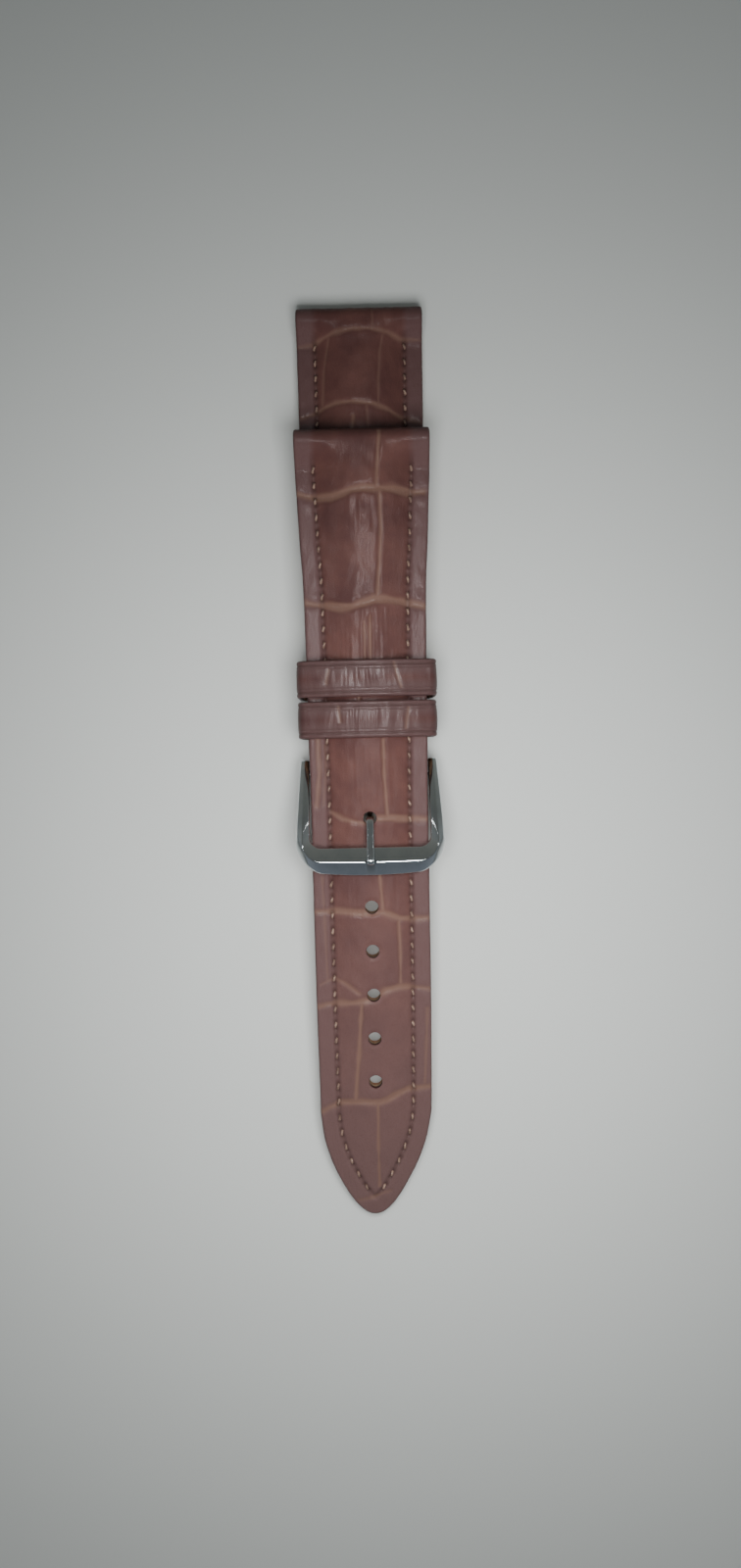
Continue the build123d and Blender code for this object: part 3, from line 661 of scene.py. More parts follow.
def closed_layer(name, strap, x, s, heights, places, shade=()):
    """A closed layer between two heights over a strap's back, with the places of each face's grain."""
    top = number_grid(x.shape)
    low = number_grid(x.shape, x.size)
    faces = sheet(top) + sheet(low)
    for rim in (0, -1):
        faces += strip(top[rim], low[rim]) + strip(top[:, rim], low[:, rim])
    points = [bend(x, s, strap.back + height).reshape(-1, 3) for height in heights]
    place = [coordinate_rows(x, s, height) for height in places]
    shade = [*shade, ("place", np.concatenate(place))]
    return make_object(name, np.concatenate(points), faces, shade, SOFT_ANGLE)


def slab_layer(name, strap, low, high, inset, low_gap, high_gap, columns, round_low=0.0, seam_depth=0.0):
    """A flat layer between two heights, inset from the outline, with its lower edges rounded."""
    flat_high = strap.high - LUG_RING - high_gap
    tip = TIP + inset + 0.02
    s = np.arange(strap.low + low_gap if strap.folded else tip, flat_high, INNER_STEP)
    s[-1] = flat_high
    if not strap.folded:
        s = with_tip(s, tip, 50, INNER_STEP)
    half = np.maximum(strap.half(s) - inset, 0.05)
    if not strap.folded:
        near_tip = np.interp(s, *inset_line(inset))
        half = np.where(s < TIP + TIP_LENGTH, np.minimum(half, np.maximum(near_tip, 0.03)), half)
    x = spread_columns(columns) * half[:, None]
    s = s[:, None] + 0 * x
    d = np.maximum(edge_distance(x, s, strap.half) - inset, 0.0)
    bottom_h = low + edge_drop(d, round_low) + strap.seam(x, s, seam_depth)
    if seam_depth:
        bottom_h = bottom_h + LINING_WAVE_DEPTH * ripple(x * 0.8, s * 0.6, strap.seed + 5)
        if not strap.folded:
            start, end = ([FIRST_HOLE + place for place in zone] for zone in (DENT_START, DENT_END))
            pressed = ease(s, *start) * (1 - ease(s, *end))
            bottom_h = bottom_h + TONGUE_DENT * pressed * bell(x, 1.0, 4)
    top_h = np.full(x.shape, high)
    places = (strap.seed + top_h, strap.seed + bottom_h + 3)
    return closed_layer(name, strap, x, s, (top_h, bottom_h), places, [("edge", np.tile(d.ravel(), 2))])


def filler_layer(name, strap, low, high):
    """The padding under the crown."""
    s = np.arange(low, high, FILLER_STEP)
    half = np.maximum(inset_half(s, strap.half) - 0.35, 0.2)
    x = np.linspace(-1.0, 1.0, 41) * half[:, None]
    s = s[:, None] + 0 * x
    top_h = STIFFENER + np.maximum(strap.crown(x, s) - 0.06, 0.03)
    return closed_layer(name, strap, x, s, (top_h, STIFFENER + 0 * x), (top_h, top_h))


def cutter_object(work):
    """An object for cutting, from a shape under work."""
    mesh = bpy.data.meshes.new("cutter")
    work.to_mesh(mesh)
    work.free()
    return bpy.data.objects.new("cutter", mesh)


def round_cutter(radius, depth, centre, direction, sides=48):
    """A round bar, for cutting a hole, in millimetres."""
    work = bmesh.new()
    bmesh.ops.create_cone(
        work, cap_ends=True, segments=sides, radius1=radius * MM, radius2=radius * MM, depth=depth * MM
    )
    turn = Vector((0, 0, 1)).rotation_difference(Vector(direction).normalized()).to_matrix().to_4x4()
    bmesh.ops.transform(work, matrix=turn, verts=work.verts)
    bmesh.ops.translate(work, vec=Vector(centre) * MM, verts=work.verts)
    return cutter_object(work)


def notch_cutter():
    """The box that cuts the notch for the tongue's eye in the short strap's turned end."""
    low, high = (-1.5, HINGE[1] - 3.5, -2.0), (1.5, HINGE[1] + 2.6, 9.0)
    work = bmesh.new()
    bmesh.ops.create_cube(work, size=1.0)
    for vertex in work.verts:
        share = vertex.co + Vector((0.5, 0.5, 0.5))
        vertex.co = Vector([(a + (b - a) * t) * MM for a, b, t in zip(low, high, share)])
    return cutter_object(work)


def combine(piece, tools, operation="DIFFERENCE"):
    """Cut some closed objects out of a piece, or join them to it."""
    group = bpy.data.collections.new("tools")
    bpy.context.scene.collection.children.link(group)
    for tool in tools:
        group.objects.link(tool)
    modifier = piece.modifiers.new("combine", "BOOLEAN")
    modifier.operation = operation
    modifier.operand_type = "COLLECTION"
    modifier.collection = group
    modifier.solver = "MANIFOLD"
    bpy.context.view_layer.update()
    depsgraph = bpy.context.evaluated_depsgraph_get()
    result = bpy.data.meshes.new_from_object(piece.evaluated_get(depsgraph))
    piece.modifiers.clear()
    piece.data = result
    for tool in tools:
        bpy.data.objects.remove(tool)
    bpy.data.collections.remove(group)
    result.set_sharp_from_angle(angle=math.radians(SHARP_ANGLE))


def radial(s):
    """Direction square to the bent strap at a place along it, and the one along it."""
    lean = math.asin((HINGE[1] + s - BEND_CENTRE[1]) / BEND_RADIUS)
    return np.array([0.0, math.sin(lean), math.cos(lean)]), np.array([0.0, math.cos(lean), -math.sin(lean)])


hole_circle = BEND_RADIUS + LONG_BACK
first_angle = math.asin((HINGE[1] + FIRST_HOLE - BEND_CENTRE[1]) / hole_circle)
HOLE_PLACES = [
    BEND_CENTRE[1] + hole_circle * math.sin(first_angle - HOLE_PITCH / hole_circle * n) - HINGE[1]
    for n in range(HOLE_COUNT)
]


def hole_cutters():
    """Round bars through the long strap at its adjustment holes."""
    middle = LONG_BACK + 1.5
    return [round_cutter(HOLE_RADIUS, HOLE_CUT, bend(0.0, s, middle), radial(s)[0]) for s in HOLE_PLACES]


def bore_cutter(strap, s, radius, height):
    """A round bar across a strap, for the bore of a turned end."""
    return round_cutter(radius, BORE_CUT, bend(0.0, s, strap.back + height), (1, 0, 0))


# Stitching
def stitch_mesh(x, s, heading, base, sign, length, radius, seed):
    """One twisted stitch: its ends dive into the leather and its middle lies on it."""
    rings, sides = 13, 10
    t = np.linspace(-1.0, 1.0, rings)[:, None]
    along = t * length / 2
    dip = THREAD_RISE - THREAD_DIVE * np.abs(t) ** 3.5
    size = radius * np.sqrt(np.clip(1.02 - np.abs(t) ** 6, 0.03, 1.0))
    angle = np.linspace(0, 2 * math.pi, sides, endpoint=False)
    ply = 1 + PLY_DEPTH * np.cos(2 * (angle - PLY_TWIST * along + seed))
    across = size * ply * np.cos(angle) * 1.1
    rise = size * ply * np.sin(angle) + dip
    point_x = x + along * math.cos(heading) - across * math.sin(heading)
    point_s = s + along * math.sin(heading) + across * math.cos(heading)
    points = bend(point_x, point_s, base + sign * rise).reshape(-1, 3)
    ids = number_grid((rings, sides))
    return points, sheet(ids, closed=True) + [tuple(ids[0]), tuple(ids[-1])]


def thread_object(name, stitches):
    """One object from many stitches, whose grain follows their own places."""
    points, faces, total = [], [], 0
    for part, part_faces in stitches:
        points.append(part)
        faces += [tuple(total + index for index in face) for face in part_faces]
        total += len(part)
    points = np.concatenate(points)
    return make_object(name, points, faces, [("place", points)], 60.0)


def stitching(name, strap):
    """All of a strap's stitches, on its face and on its back."""
    rng = np.random.default_rng(strap.seed + 40)
    stitches = []
    for x, s, heading in stitch_places(strap):
        for side in (-1, 1):
            for sign, base in ((1, SLAB - SEAM_DEPTH + 0.06), (-1, 0.25)):
                slant = math.radians(15.0 + rng.uniform(-5, 5)) * side * sign
                turn = heading if side > 0 else math.pi - heading
                stitches.append(stitch_mesh(
                    side * x, s, turn + slant, strap.back + base, sign,
                    STITCH_LENGTH + rng.uniform(-0.1, 0.1), THREAD_RADIUS, rng.uniform(0, 6),
                ))
    return thread_object(name, stitches)


# Keepers
def resample(steps, even, values):
    """Rows of two values, read at even steps along a line."""
    return np.stack([np.interp(even, steps, values[:, n]) for n in (0, 1)], axis=1)


def walk(line):
    """Distances along a line of points."""
    return np.concatenate([[0], np.cumsum(np.hypot(*np.diff(line, axis=0).T))])


def keeper_path(bottom, offset):
    """Points and outward directions round a keeper, at a distance from the space inside it."""
    half, corner = KEEPER_INNER_HALF, KEEPER_CORNER
    shoulder = LONG_BACK + SLAB + KEEPER_CLEARANCE
    crest = shoulder + float(long_rise(KEEPER_CREST_AT)) - 0.05
    rise = crest - shoulder
    big = (half**2 + rise**2) / (2 * rise)
    centre_h = crest - big
    corner_x = half - corner
    top_corner_h = centre_h + math.sqrt((big - corner) ** 2 - corner_x**2)
    top_angle = math.atan2(top_corner_h - centre_h, corner_x)
    low_h = bottom + corner
    arcs = [
        (corner_x, low_h, -math.pi / 2, 0.0),
        (corner_x, top_corner_h, 0.0, top_angle),
        (0.0, centre_h, top_angle, math.pi - top_angle),
        (-corner_x, top_corner_h, math.pi - top_angle, math.pi),
        (-corner_x, low_h, math.pi, 1.5 * math.pi),
    ]
    places, normals = [np.array([[0.0, bottom - offset]])], [np.array([[0.0, -1.0]])]
    for number, (cx, ch, start, end) in enumerate(arcs):
        radius = (big if number == 2 else corner) + offset
        angles = np.linspace(start, end, 80 if number == 2 else 14)
        turn = np.stack([np.cos(angles), np.sin(angles)], axis=1)
        places.append(np.array([cx, ch]) + radius * turn)
        normals.append(turn)
    places.append(places[0])
    normals.append(normals[0])
    places, normals = np.concatenate(places), np.concatenate(normals)
    steps = walk(places)
    even = np.linspace(0, steps[-1], KEEPER_ROWS, endpoint=False)
    turn = resample(steps, even, normals)
    return resample(steps, even, places), turn / np.linalg.norm(turn, axis=1)[:, None], even


def keeper_layer(name, s, bottom, low, high, narrow, grooves=(), bulge=0.0, seed=0):
    """One leather layer of a keeper as a closed band. Only the outer one has grooves and relief."""
    path, normal, walked = keeper_path(bottom, low)
    width = KEEPER_LENGTH / 2 - narrow
    edge = min(KEEPER_EDGE, (high - low) / 2)
    turns = np.linspace(0, math.pi / 2, 6)
    across = np.concatenate([
        -width + edge * (1 - np.sin(turns[::-1])),
        np.linspace(-width + edge, width - edge, 44)[1:-1],
        width - edge + edge * np.sin(turns),
    ])
    curl = edge * np.cos(turns) - edge
    over = np.concatenate([curl[::-1], np.zeros(42), curl])
    v = np.concatenate([across, [width, width - 0.1, 0.0, -width + 0.1, -width]])
    rise = np.concatenate([over + (high - low), [0.15 * (high - low), 0, 0, 0, 0.15 * (high - low)]])
    v_grid = v + 0 * path[:, :1]
    x, h = path[:, :1], path[:, 1:]
    normal_x, normal_h = normal[:, :1], normal[:, 1:]
    walked = walked[:, None]
    face, groove, crease = (np.zeros_like(v_grid) for _ in range(3))
    if grooves:
        inset = width - np.abs(v_grid)
        crease = sum(share * bell(inset - place, spread) for place, spread, share in KEEPER_CREASES)
        face += KEEPER_DOME * (1 - (v_grid / width) ** 2) - KEEPER_DOME * crease
        groove_d = line_distance(x + 0 * v_grid, v_grid, grooves)
        top = normal_h > 0.3
        groove = 0.7 * bell(groove_d, KEEPER_GROOVE_SPREAD) * top
        face -= KEEPER_GROOVE_DEPTH * groove
        waves, grain, wrinkles = KEEPER_RIPPLES
        face += waves * ripple(walked * 0.7, v_grid * 0.35, seed)
        middle = bell(x + 0.5, 3.4, 4) * top * bell(v_grid, 1.7, 4)
        face += grain * ripple(walked * 2.6, v_grid * 0.5, seed + 3)
        face += wrinkles * middle * ripple(walked * 2.3, v_grid * 0.28, seed + 4)
        face += bulge * np.abs(normal_x) ** 3
        face *= 1 - 0.85 * np.clip(-normal_h, 0.0, 1.0)
        face[:, len(across):] = 0
    total = rise + face
    out, forward = radial(s)
    points = bend(0.0, s, 0.0) + (h + normal_h * total)[..., None] * out + v_grid[..., None] * forward
    points[..., 0] += x + normal_x * total
    ids = number_grid(v_grid.shape)
    faces = sheet(np.concatenate([ids, ids[:1]]), closed=True)
    shade = [
        ("groove", groove.ravel()),
        # Painted sheen: this edge value gives the keeper's sides the flat bands' greyer sheen colour
        ("edge", (width - np.abs(v_grid)).ravel() + 0.6),
        # Painted shade: the seam attribute darkens the creases along the keeper's edges
        ("seam", crease.ravel()),
        ("place", coordinate_rows(walked, v_grid, total + seed * 7.0)),
    ]
    return make_object(name, points.reshape(-1, 3), faces, shade, 50.0)


def keeper_stitches(name, s, bottom):
    """The two stitches that close a keeper under the strap."""
    base = bottom - KEEPER_BAND + 0.12
    return thread_object(name, [
        stitch_mesh(x, s, math.pi / 2, base, -1, KEEPER_STITCH_LENGTH, KEEPER_THREAD_RADIUS, x)
        for x in (-KEEPER_STITCH_OFFSET, KEEPER_STITCH_OFFSET)
    ])


# Metal pieces
def round_off(before, here, after, reach, count):
    """Points round a corner, from a distance before it to the same distance after it."""
    back, on = before - here, after - here
    start = here + back / np.linalg.norm(back) * reach
    end = here + on / np.linalg.norm(on) * reach
    return [(1 - t) ** 2 * start + 2 * t * (1 - t) * here + t**2 * end for t in np.linspace(0, 1, count)]


def rounded(corners, radii, count):
    """The points of a closed polygon with its corners rounded, the same number at each corner."""
    corners = np.array(corners, float)
    points = []
    for n, radius in enumerate(radii):
        before, here, after = corners[n - 1], corners[n], corners[(n + 1) % len(corners)]
        shorter = min(np.linalg.norm(before - here), np.linalg.norm(after - here))
        points += round_off(before, here, after, min(radius, 0.48 * shorter), count)
    return np.array(points)


def loft(name, sections):
    """A closed solid through sections that have the same number of points."""
    ids = number_grid((len(sections), len(sections[0])))
    faces = sheet(ids, closed=True) + [tuple(ids[0]), tuple(ids[-1][::-1])]
    return make_object(name, np.concatenate(sections), faces)


def arc_through(low, middle, high):
    """Height along an arc through three (place, height) points, as a parabola."""
    return np.polynomial.Polynomial.fit(*np.array([low, middle, high]).T, 2).convert()


BAR_START, BAR_RIDGE, BAR_END = -11.5, -13.8, -15.9
ARM_END = 2.3
ARM_FOOT = -1.3
ARM_HALF_DEPTH = 1.3
# Its bores for the spring bar's tips, from end to end, and the notch that the tongue rests in
SPRING_TIP_BORE, SPRING_TIP_REACH = 0.45, 20.9
REST_NOTCH_RADIUS, REST_NOTCH_DEPTH = 1.3, 0.42
bar_low = float(bend(0.0, BAR_START, LONG_BACK + SLAB + 0.6)[2]) + 0.3
bar_top = bar_low + 2.1
arm_top = arc_through(
    (ARM_END, HINGE[2] + ARM_HALF_DEPTH),
    ((ARM_END + BAR_RIDGE) / 2, (HINGE[2] + ARM_HALF_DEPTH + bar_top) / 2 + 0.7),
    (BAR_RIDGE, bar_top),
)
arm_low = arc_through(
    (ARM_FOOT, HINGE[2] - ARM_HALF_DEPTH),
    ((BAR_START + ARM_FOOT) / 2, (HINGE[2] - ARM_HALF_DEPTH + bar_low) / 2 + 0.7),
    (BAR_START, bar_low),
)


def top_height(s):
    """Height of the frame's ridge along it."""
    return np.where(s < BAR_RIDGE, bar_top, arm_top(s))


def low_height(s):
    """Height of the frame's underside along it."""
    return np.where(s > ARM_FOOT, HINGE[2] - ARM_HALF_DEPTH, np.where(s < BAR_START, bar_low, arm_low(s)))


def frame_line(bar_s, bow, corner_x, bends, arm_x, end_x):
    """One side of a line round the frame: along the bar, round the corner and up the arm."""
    x = np.linspace(0.0, corner_x, 40)
    bar = np.stack([x, bar_s + bow * (x / corner_x) ** 2], axis=1)
    start, end = bar[-1], np.array([arm_x, bends[1]])
    first = start + np.array([bends[0], bow * 0.6])
    second = np.array([arm_x - (end_x - arm_x) * 0.1, bends[2]])
    t = np.linspace(0, 1, 26)[1:, None]
    corner = (1 - t) ** 3 * start + 3 * t * (1 - t) ** 2 * first + 3 * t**2 * (1 - t) * second + t**3 * end
    s = np.linspace(bends[1], ARM_END, 46)[1:]
    arm_share = (s - bends[1]) / (ARM_END - bends[1])
    arm = np.stack([arm_x + (end_x - arm_x) * arm_share, s], axis=1)
    return np.concatenate([bar, corner, arm])


def frame_mesh(name):
    """The buckle's frame: one ridged section carried along the bar, round the corners and up the arms."""
    inner = frame_line(BAR_START, 0.0, 7.7, (0.9, -9.9, -10.7), 9.45, 9.45)
    ridge = frame_line(BAR_RIDGE, 0.12, 7.6, (1.7, -10.5, -12.2), 10.6, 10.15)
    outer = frame_line(BAR_END, 0.35, 7.4, (1.9, -10.5, -12.9), 11.6, 10.85)
    sections = []
    for side in (1, -1):
        half = []
        for (ix, i_s), (rx, r_s), (ox, o_s) in zip(inner, ridge, outer):
            low_in, low_out = float(low_height(i_s)), float(low_height(o_s))
            top = float(top_height(r_s))
            ridged = 1 - float(ease(r_s, -11.5, -6.0))
            corners = [
                (ix, i_s, low_in),
                (ix, i_s, top - 0.25 - 0.75 * ridged),
                (rx, r_s, top),
                (ox, o_s, top - 0.35 - 0.65 * ridged),
                (ox, o_s, low_out),
            ]
            section = rounded(corners, (0.2, 0.22, 0.18, 0.26, 0.2), 6)
            section[:, 0] *= side
            half.append(section)
        sections.append(half)
    right, left = sections
    stations = left[::-1] + right[1:]
    ends = []
    for station in (stations[0], stations[-1]):
        centre = station.mean(axis=0)
        caps = []
        for grow, shift in ((0.72, 0.0), (0.9, -0.10), (0.98, -0.22)):
            cap = centre + (station - centre) * np.array([grow, 1.0, grow])
            cap[:, 1] = station[:, 1] + shift
            caps.append(cap)
        ends.append(caps)
        station[:, 1] -= 0.4
    stations = ends[0] + stations + ends[1][::-1]
    piece = loft(name, [station + np.array([0.0, HINGE[1], 0.0]) for station in stations])
    notch_z = bar_top - REST_NOTCH_DEPTH + REST_NOTCH_RADIUS
    combine(piece, [
        round_cutter(SPRING_TIP_BORE, SPRING_TIP_REACH, HINGE, (1, 0, 0), 32),
        round_cutter(REST_NOTCH_RADIUS, 8.0, (0.0, HINGE[1] + BAR_RIDGE, notch_z), (0, 1, 0), 64),
    ])
    return piece


# Spring bar: its coil spring's wire and turns, and how far its tips are pressed in
SPRING_WIRE = 0.14
SPRING_TURNS = 11
TIP_TRAVEL = 0.8

# Tongue: its eye on the barrel, then under the strap, up through the hole and on to the bar
TONGUE_WIDTH = 1.25
TONGUE_THICKNESS = 0.9
TONGUE_TAPER = 0.7
TONGUE_LEAN = math.radians(80.0)
TONGUE_BEND = 0.8
EYE_HALF = 1.2
EYE_BORE = 0.9
EYE_OUTER = 1.6


def fillet_line(points, radius):
    """A line with its corners rounded, close enough to arcs."""
    points = [np.array(point, float) for point in points]
    line = [points[0]]
    for before, here, after in zip(points, points[1:], points[2:]):
        back, on = before - here, after - here
        half = math.acos(np.dot(back, on) / np.linalg.norm(back) / np.linalg.norm(on)) / 2
        line += round_off(before, here, after, radius / math.tan(half), 10)
    return np.array(line + [points[-1]])


def tongue_mesh(name):
    """The tongue as a rounded bar swept along its line, joined to its eye."""
    back_z = float(bend(0.0, FIRST_HOLE, LONG_BACK)[2])
    top_z = float(bend(0.0, FIRST_HOLE, LONG_BACK + SLAB + 0.62)[2])
    middle_z = (back_z + top_z) / 2
    lean = 1 / math.tan(TONGUE_LEAN)
    low = (FIRST_HOLE + (middle_z - back_z + 0.65) * lean, back_z - 0.65)
    high = (FIRST_HOLE - (top_z + 0.75 - middle_z) * lean, top_z + 0.75)
    rest_z = bar_top - 0.4 + 0.05 + TONGUE_THICKNESS / 2
    slope = (rest_z - high[1]) / (high[0] - BAR_RIDGE)
    end = (BAR_RIDGE - 0.4, rest_z + slope * 0.4)
    line = fillet_line([(0.0, HINGE[2]), low, high, end], TONGUE_BEND)
    steps = walk(line)
    near_end = steps[-1] - TONGUE_TAPER
    even = np.concatenate([np.linspace(0, near_end, 70), near_end + TONGUE_TAPER * np.linspace(0, 1, 10)[1:]])
    path = resample(steps, even, line)
    heading = np.gradient(path, axis=0)
    heading /= np.linalg.norm(heading, axis=1)[:, None]
    half_w, half_t = TONGUE_WIDTH / 2, TONGUE_THICKNESS / 2
    corners = [(-half_w, -half_t), (half_w, -half_t), (half_w, half_t), (-half_w, half_t)]
    section = rounded(corners, (0.45, 0.45, 0.55, 0.55), 8)
    sections = []
    for (s, z), (hs, hz), walked in zip(path, heading, even):
        left = min(max((steps[-1] - walked) / TONGUE_TAPER, 0.0), 1.0)
        size = max(math.sqrt(1 - (1 - left) ** 2), 0.12)
        across = section[:, 0] * (0.45 + 0.55 * size)
        over = (section[:, 1] + half_t) * (0.35 + 0.65 * size) - half_t
        sections.append(np.stack([across, HINGE[1] + s + hz * over, z - hs * over], axis=1))
    bar = loft(name, sections)
    corners = [(-EYE_HALF, EYE_BORE), (EYE_HALF, EYE_BORE), (EYE_HALF, EYE_OUTER), (-EYE_HALF, EYE_OUTER)]
    profile = rounded(corners, (0.12, 0.12, 0.3, 0.3), 5)
    ring = []
    for turn in np.linspace(0, 2 * math.pi, 49)[:-1]:
        around = profile[:, 1] * math.cos(turn), profile[:, 1] * math.sin(turn)
        ring.append(np.stack([profile[:, 0], HINGE[1] + around[0], HINGE[2] + around[1]], axis=1))
    ids = number_grid((len(ring), len(profile)))
    eye = make_object("eye", np.concatenate(ring), sheet(np.concatenate([ids, ids[:1]]), closed=True))
    combine(bar, [eye], "UNION")
    combine(bar, [round_cutter(EYE_BORE, 6.0, HINGE, (1, 0, 0))])
    smooth(bar.data)
    return bar


def coil_mesh(name, side):
    """Half of the spring bar's coil spring, from its middle to one of the tips."""
    low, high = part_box("spring_bar_spring")
    radius = (high[2] - low[2]) / 2 / MM - SPRING_WIRE
    reach = high[0] / MM - SPRING_WIRE
    around = np.linspace(0, 2 * math.pi, 9)[:-1]
    sections = []
    for share in np.linspace(0, 1, 180):
        turn = math.pi * SPRING_TURNS * share * side
        out = radius + SPRING_WIRE * np.cos(around)
        sections.append(np.stack([
            side * reach * share + SPRING_WIRE * np.sin(around),
            HINGE[1] + out * math.cos(turn),
            HINGE[2] + out * math.sin(turn),
        ], axis=1))
    return loft(name, sections), 1 - TIP_TRAVEL / (high[0] / MM)


# Materials
def srgb(red, green, blue):
    """A linear colour from display values out of 255."""
    values = []
    for value in (red, green, blue):
        share = value / 255
        values.append(share / 12.92 if share <= 0.04045 else ((share + 0.055) / 1.055) ** 2.4)
    return (*values, 1.0)


class Shading:
    """The nodes of a material or of the surroundings, and the shader that they end in."""

    def __init__(self, owner, shader="Principled BSDF"):
        owner.use_nodes = True
        self.owner = owner
        self.nodes, self.links = owner.node_tree.nodes, owner.node_tree.links
        self.shader = self.nodes[shader]

    def fill(self, node, **inputs):
        """Set a node's inputs to values, or join them to other nodes' outputs."""
        for name, value in inputs.items():
            socket = node.inputs[name.replace("_", " ")]
            if isinstance(value, bpy.types.NodeSocket):
                self.links.new(value, socket)
            else:
                socket.default_value = value
        return node

    def add(self, kind, **inputs):
        """A new node with its inputs filled."""
        return self.fill(self.nodes.new("ShaderNode" + kind), **inputs)

    def attribute(self, name, output="Fac"):
        """A point attribute of the mesh."""
        node = self.add("Attribute")
        node.attribute_name = name
        return node.outputs[output]

    def noise(self, source, scale, detail=3.0, stretch=(1, 1, 1)):
        """A noise texture over a piece's own places, in features per unit."""
        place = self.add("Mapping", Scale=stretch, Vector=source).outputs["Vector"]
        return self.add("TexNoise", Scale=scale, Detail=detail, Roughness=0.55, Vector=place).outputs["Fac"]

    def ramp(self, value, low, high, start=0.0, end=1.0):
        """A value moved from one range to another."""
        node = self.add("MapRange", Value=value, From_Min=low, From_Max=high, To_Min=start, To_Max=end)
        return node.outputs["Result"]

    def mix(self, share, first, second):
        """One colour mixed into another by a share."""
        node = self.add("Mix")
        node.data_type = "RGBA"
        sockets = {socket.identifier: socket for socket in node.inputs}
        self.links.new(share, sockets["Factor_Float"])
        for socket, colour in ((sockets["A_Color"], first), (sockets["B_Color"], second)):
            if isinstance(colour, tuple):
                socket.default_value = colour
            else:
                self.links.new(colour, socket)
        return [socket for socket in node.outputs if socket.identifier == "Result_Color"][0]

    def bump(self, *heights):
        """Chained fine relief on the shader: pairs of a height value and its depth in millimetres."""
        node = None
        for height, depth in heights:
            under = {"Normal": node.outputs["Normal"]} if node else {}
            node = self.add("Bump", Distance=depth * MM, Strength=1.0, Height=height, **under)
        self.links.new(node.outputs["Normal"], self.shader.inputs["Normal"])


# Painted light: a paler colour towards the long strap's tip, standing in for brighter light there
TIP_PAINTED_LIGHT = srgb(94, 73, 71)


def leather(name, colours, rough, coat):
    """Glazed, printed calf leather with tan grooves, painted light that makes it paler towards the strap's
    tip, painted sheen on its flat bands and painted shade along its seams.
    """
    base, dark, groove_colour, band, painted_seam_shade_colour = (srgb(*colour) for colour in colours)
    work = Shading(bpy.data.materials.new(name))
    place = work.attribute("place", "Vector")
    edge = work.attribute("edge")
    along = work.add("SeparateXYZ", Vector=place).outputs["Y"]
    colour = work.mix(work.ramp(work.noise(place, 0.16, 4.0), 0.32, 0.68), base, dark)
    for share, second in (
        (work.ramp(work.noise(place, 1.4, 3.0, (1.0, 0.12, 1.0)), 0.45, 0.75, 0.0, 0.15), dark),
        # Painted sheen: the flat bands, and the keepers' sides, take a greyer mauve colour that stands in for
        # the light's sheen on them
        (work.ramp(edge, 3.4, 2.4), band),
        (work.ramp(along, -10.0, -68.0), TIP_PAINTED_LIGHT),
        (work.ramp(work.noise(place, 3.2, 2.0), 0.5, 0.8, 0.0, 0.25), dark),
        (work.ramp(work.attribute("groove"), 0.06, 0.6, 0.0, 0.75), groove_colour),
        # Painted shade: darker colour along the seam's valley, in its needle pits and in the keepers' creases
        (work.ramp(work.attribute("seam"), 0.1, 1.1, 0.0, 0.5), painted_seam_shade_colour),
        (work.ramp(edge, 0.14, 0.02), dark),
    ):
        colour = work.mix(share, colour, second)
    work.fill(
        work.shader, Base_Color=colour, Roughness=rough, Specular_IOR_Level=0.12, Coat_Weight=coat,
        Coat_Roughness=0.28,
    )
    work.bump((work.noise(place, 5.0, 3.0), 0.04), (work.noise(place, 2.4, 2.0, (1.0, 0.22, 1.0)), 0.03))
    return work.owner


def plain(name, base, dark, rough, scale, depth):
    """A matt material with a fine grain, over a piece's own places."""
    work = Shading(bpy.data.materials.new(name))
    grain = work.noise(work.attribute("place", "Vector"), scale, 4.0)
    colour = work.mix(work.ramp(grain, 0.3, 0.7), srgb(*base), srgb(*dark))
    work.fill(work.shader, Base_Color=colour, Roughness=rough)
    work.bump((grain, depth))
    return work.owner


def metal(name, bright, dull, rough, brushing):
    """Polished or brushed steel, with faint smudges and fine lines along the strap."""
    work = Shading(bpy.data.materials.new(name))
    place = work.add("TexCoord").outputs["Object"]
    smudge = work.noise(place, 0.35 / MM)
    lines = work.noise(place, 5.0 / MM, 2.0, (1.0, 0.12, 1.0))
    work.fill(
        work.shader, Base_Color=work.mix(work.ramp(smudge, 0.4, 0.7), srgb(*bright), srgb(*dull)),
        Roughness=work.ramp(smudge, 0.35, 0.65, 0.8 * rough, 1.4 * rough), Metallic=1.0,
    )
    work.bump((lines, brushing))
    return work.owner


# Base, darker blotches, grooves, painted sheen on the flat bands, and painted shade in the seams
LEATHER_COLOURS = ((90, 60, 55), (72, 46, 44), (108, 83, 72), (83, 61, 60), (52, 36, 33))
KEEPER_COLOURS = ((80, 53, 49), (64, 41, 40), (98, 76, 68), (74, 54, 53), (48, 33, 30))
outer_leather = leather("outer_leather", LEATHER_COLOURS, 0.58, 0.1)
keeper_leather = leather("keeper_leather", KEEPER_COLOURS, 0.55, 0.26)
lining_leather = plain("lining_leather", (150, 108, 80), (128, 88, 64), 0.6, 2.5, 0.04)
padding = plain("padding", (168, 146, 118), (140, 118, 94), 0.9, 3.0, 0.05)
stiffener = plain("stiffener", (140, 112, 86), (118, 92, 70), 0.8, 3.0, 0.03)
thread = plain("thread", (148, 124, 109), (90, 70, 61), 0.5, 0.9, 0.03)
polished_steel = metal("buckle_steel", (210, 213, 215), (198, 203, 206), 0.09, 0.0006)
bar_steel = metal("spring_bar_steel", (176, 178, 180), (164, 166, 168), 0.3, 0.003)


def dress(piece, material, slot, body, *nodes):
    """Give a piece its material and body, and hide the CAD nodes that it stands for."""
    piece.data.materials.clear()
    piece.data.materials.append(material)
    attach(piece, body)
    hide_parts(*nodes)


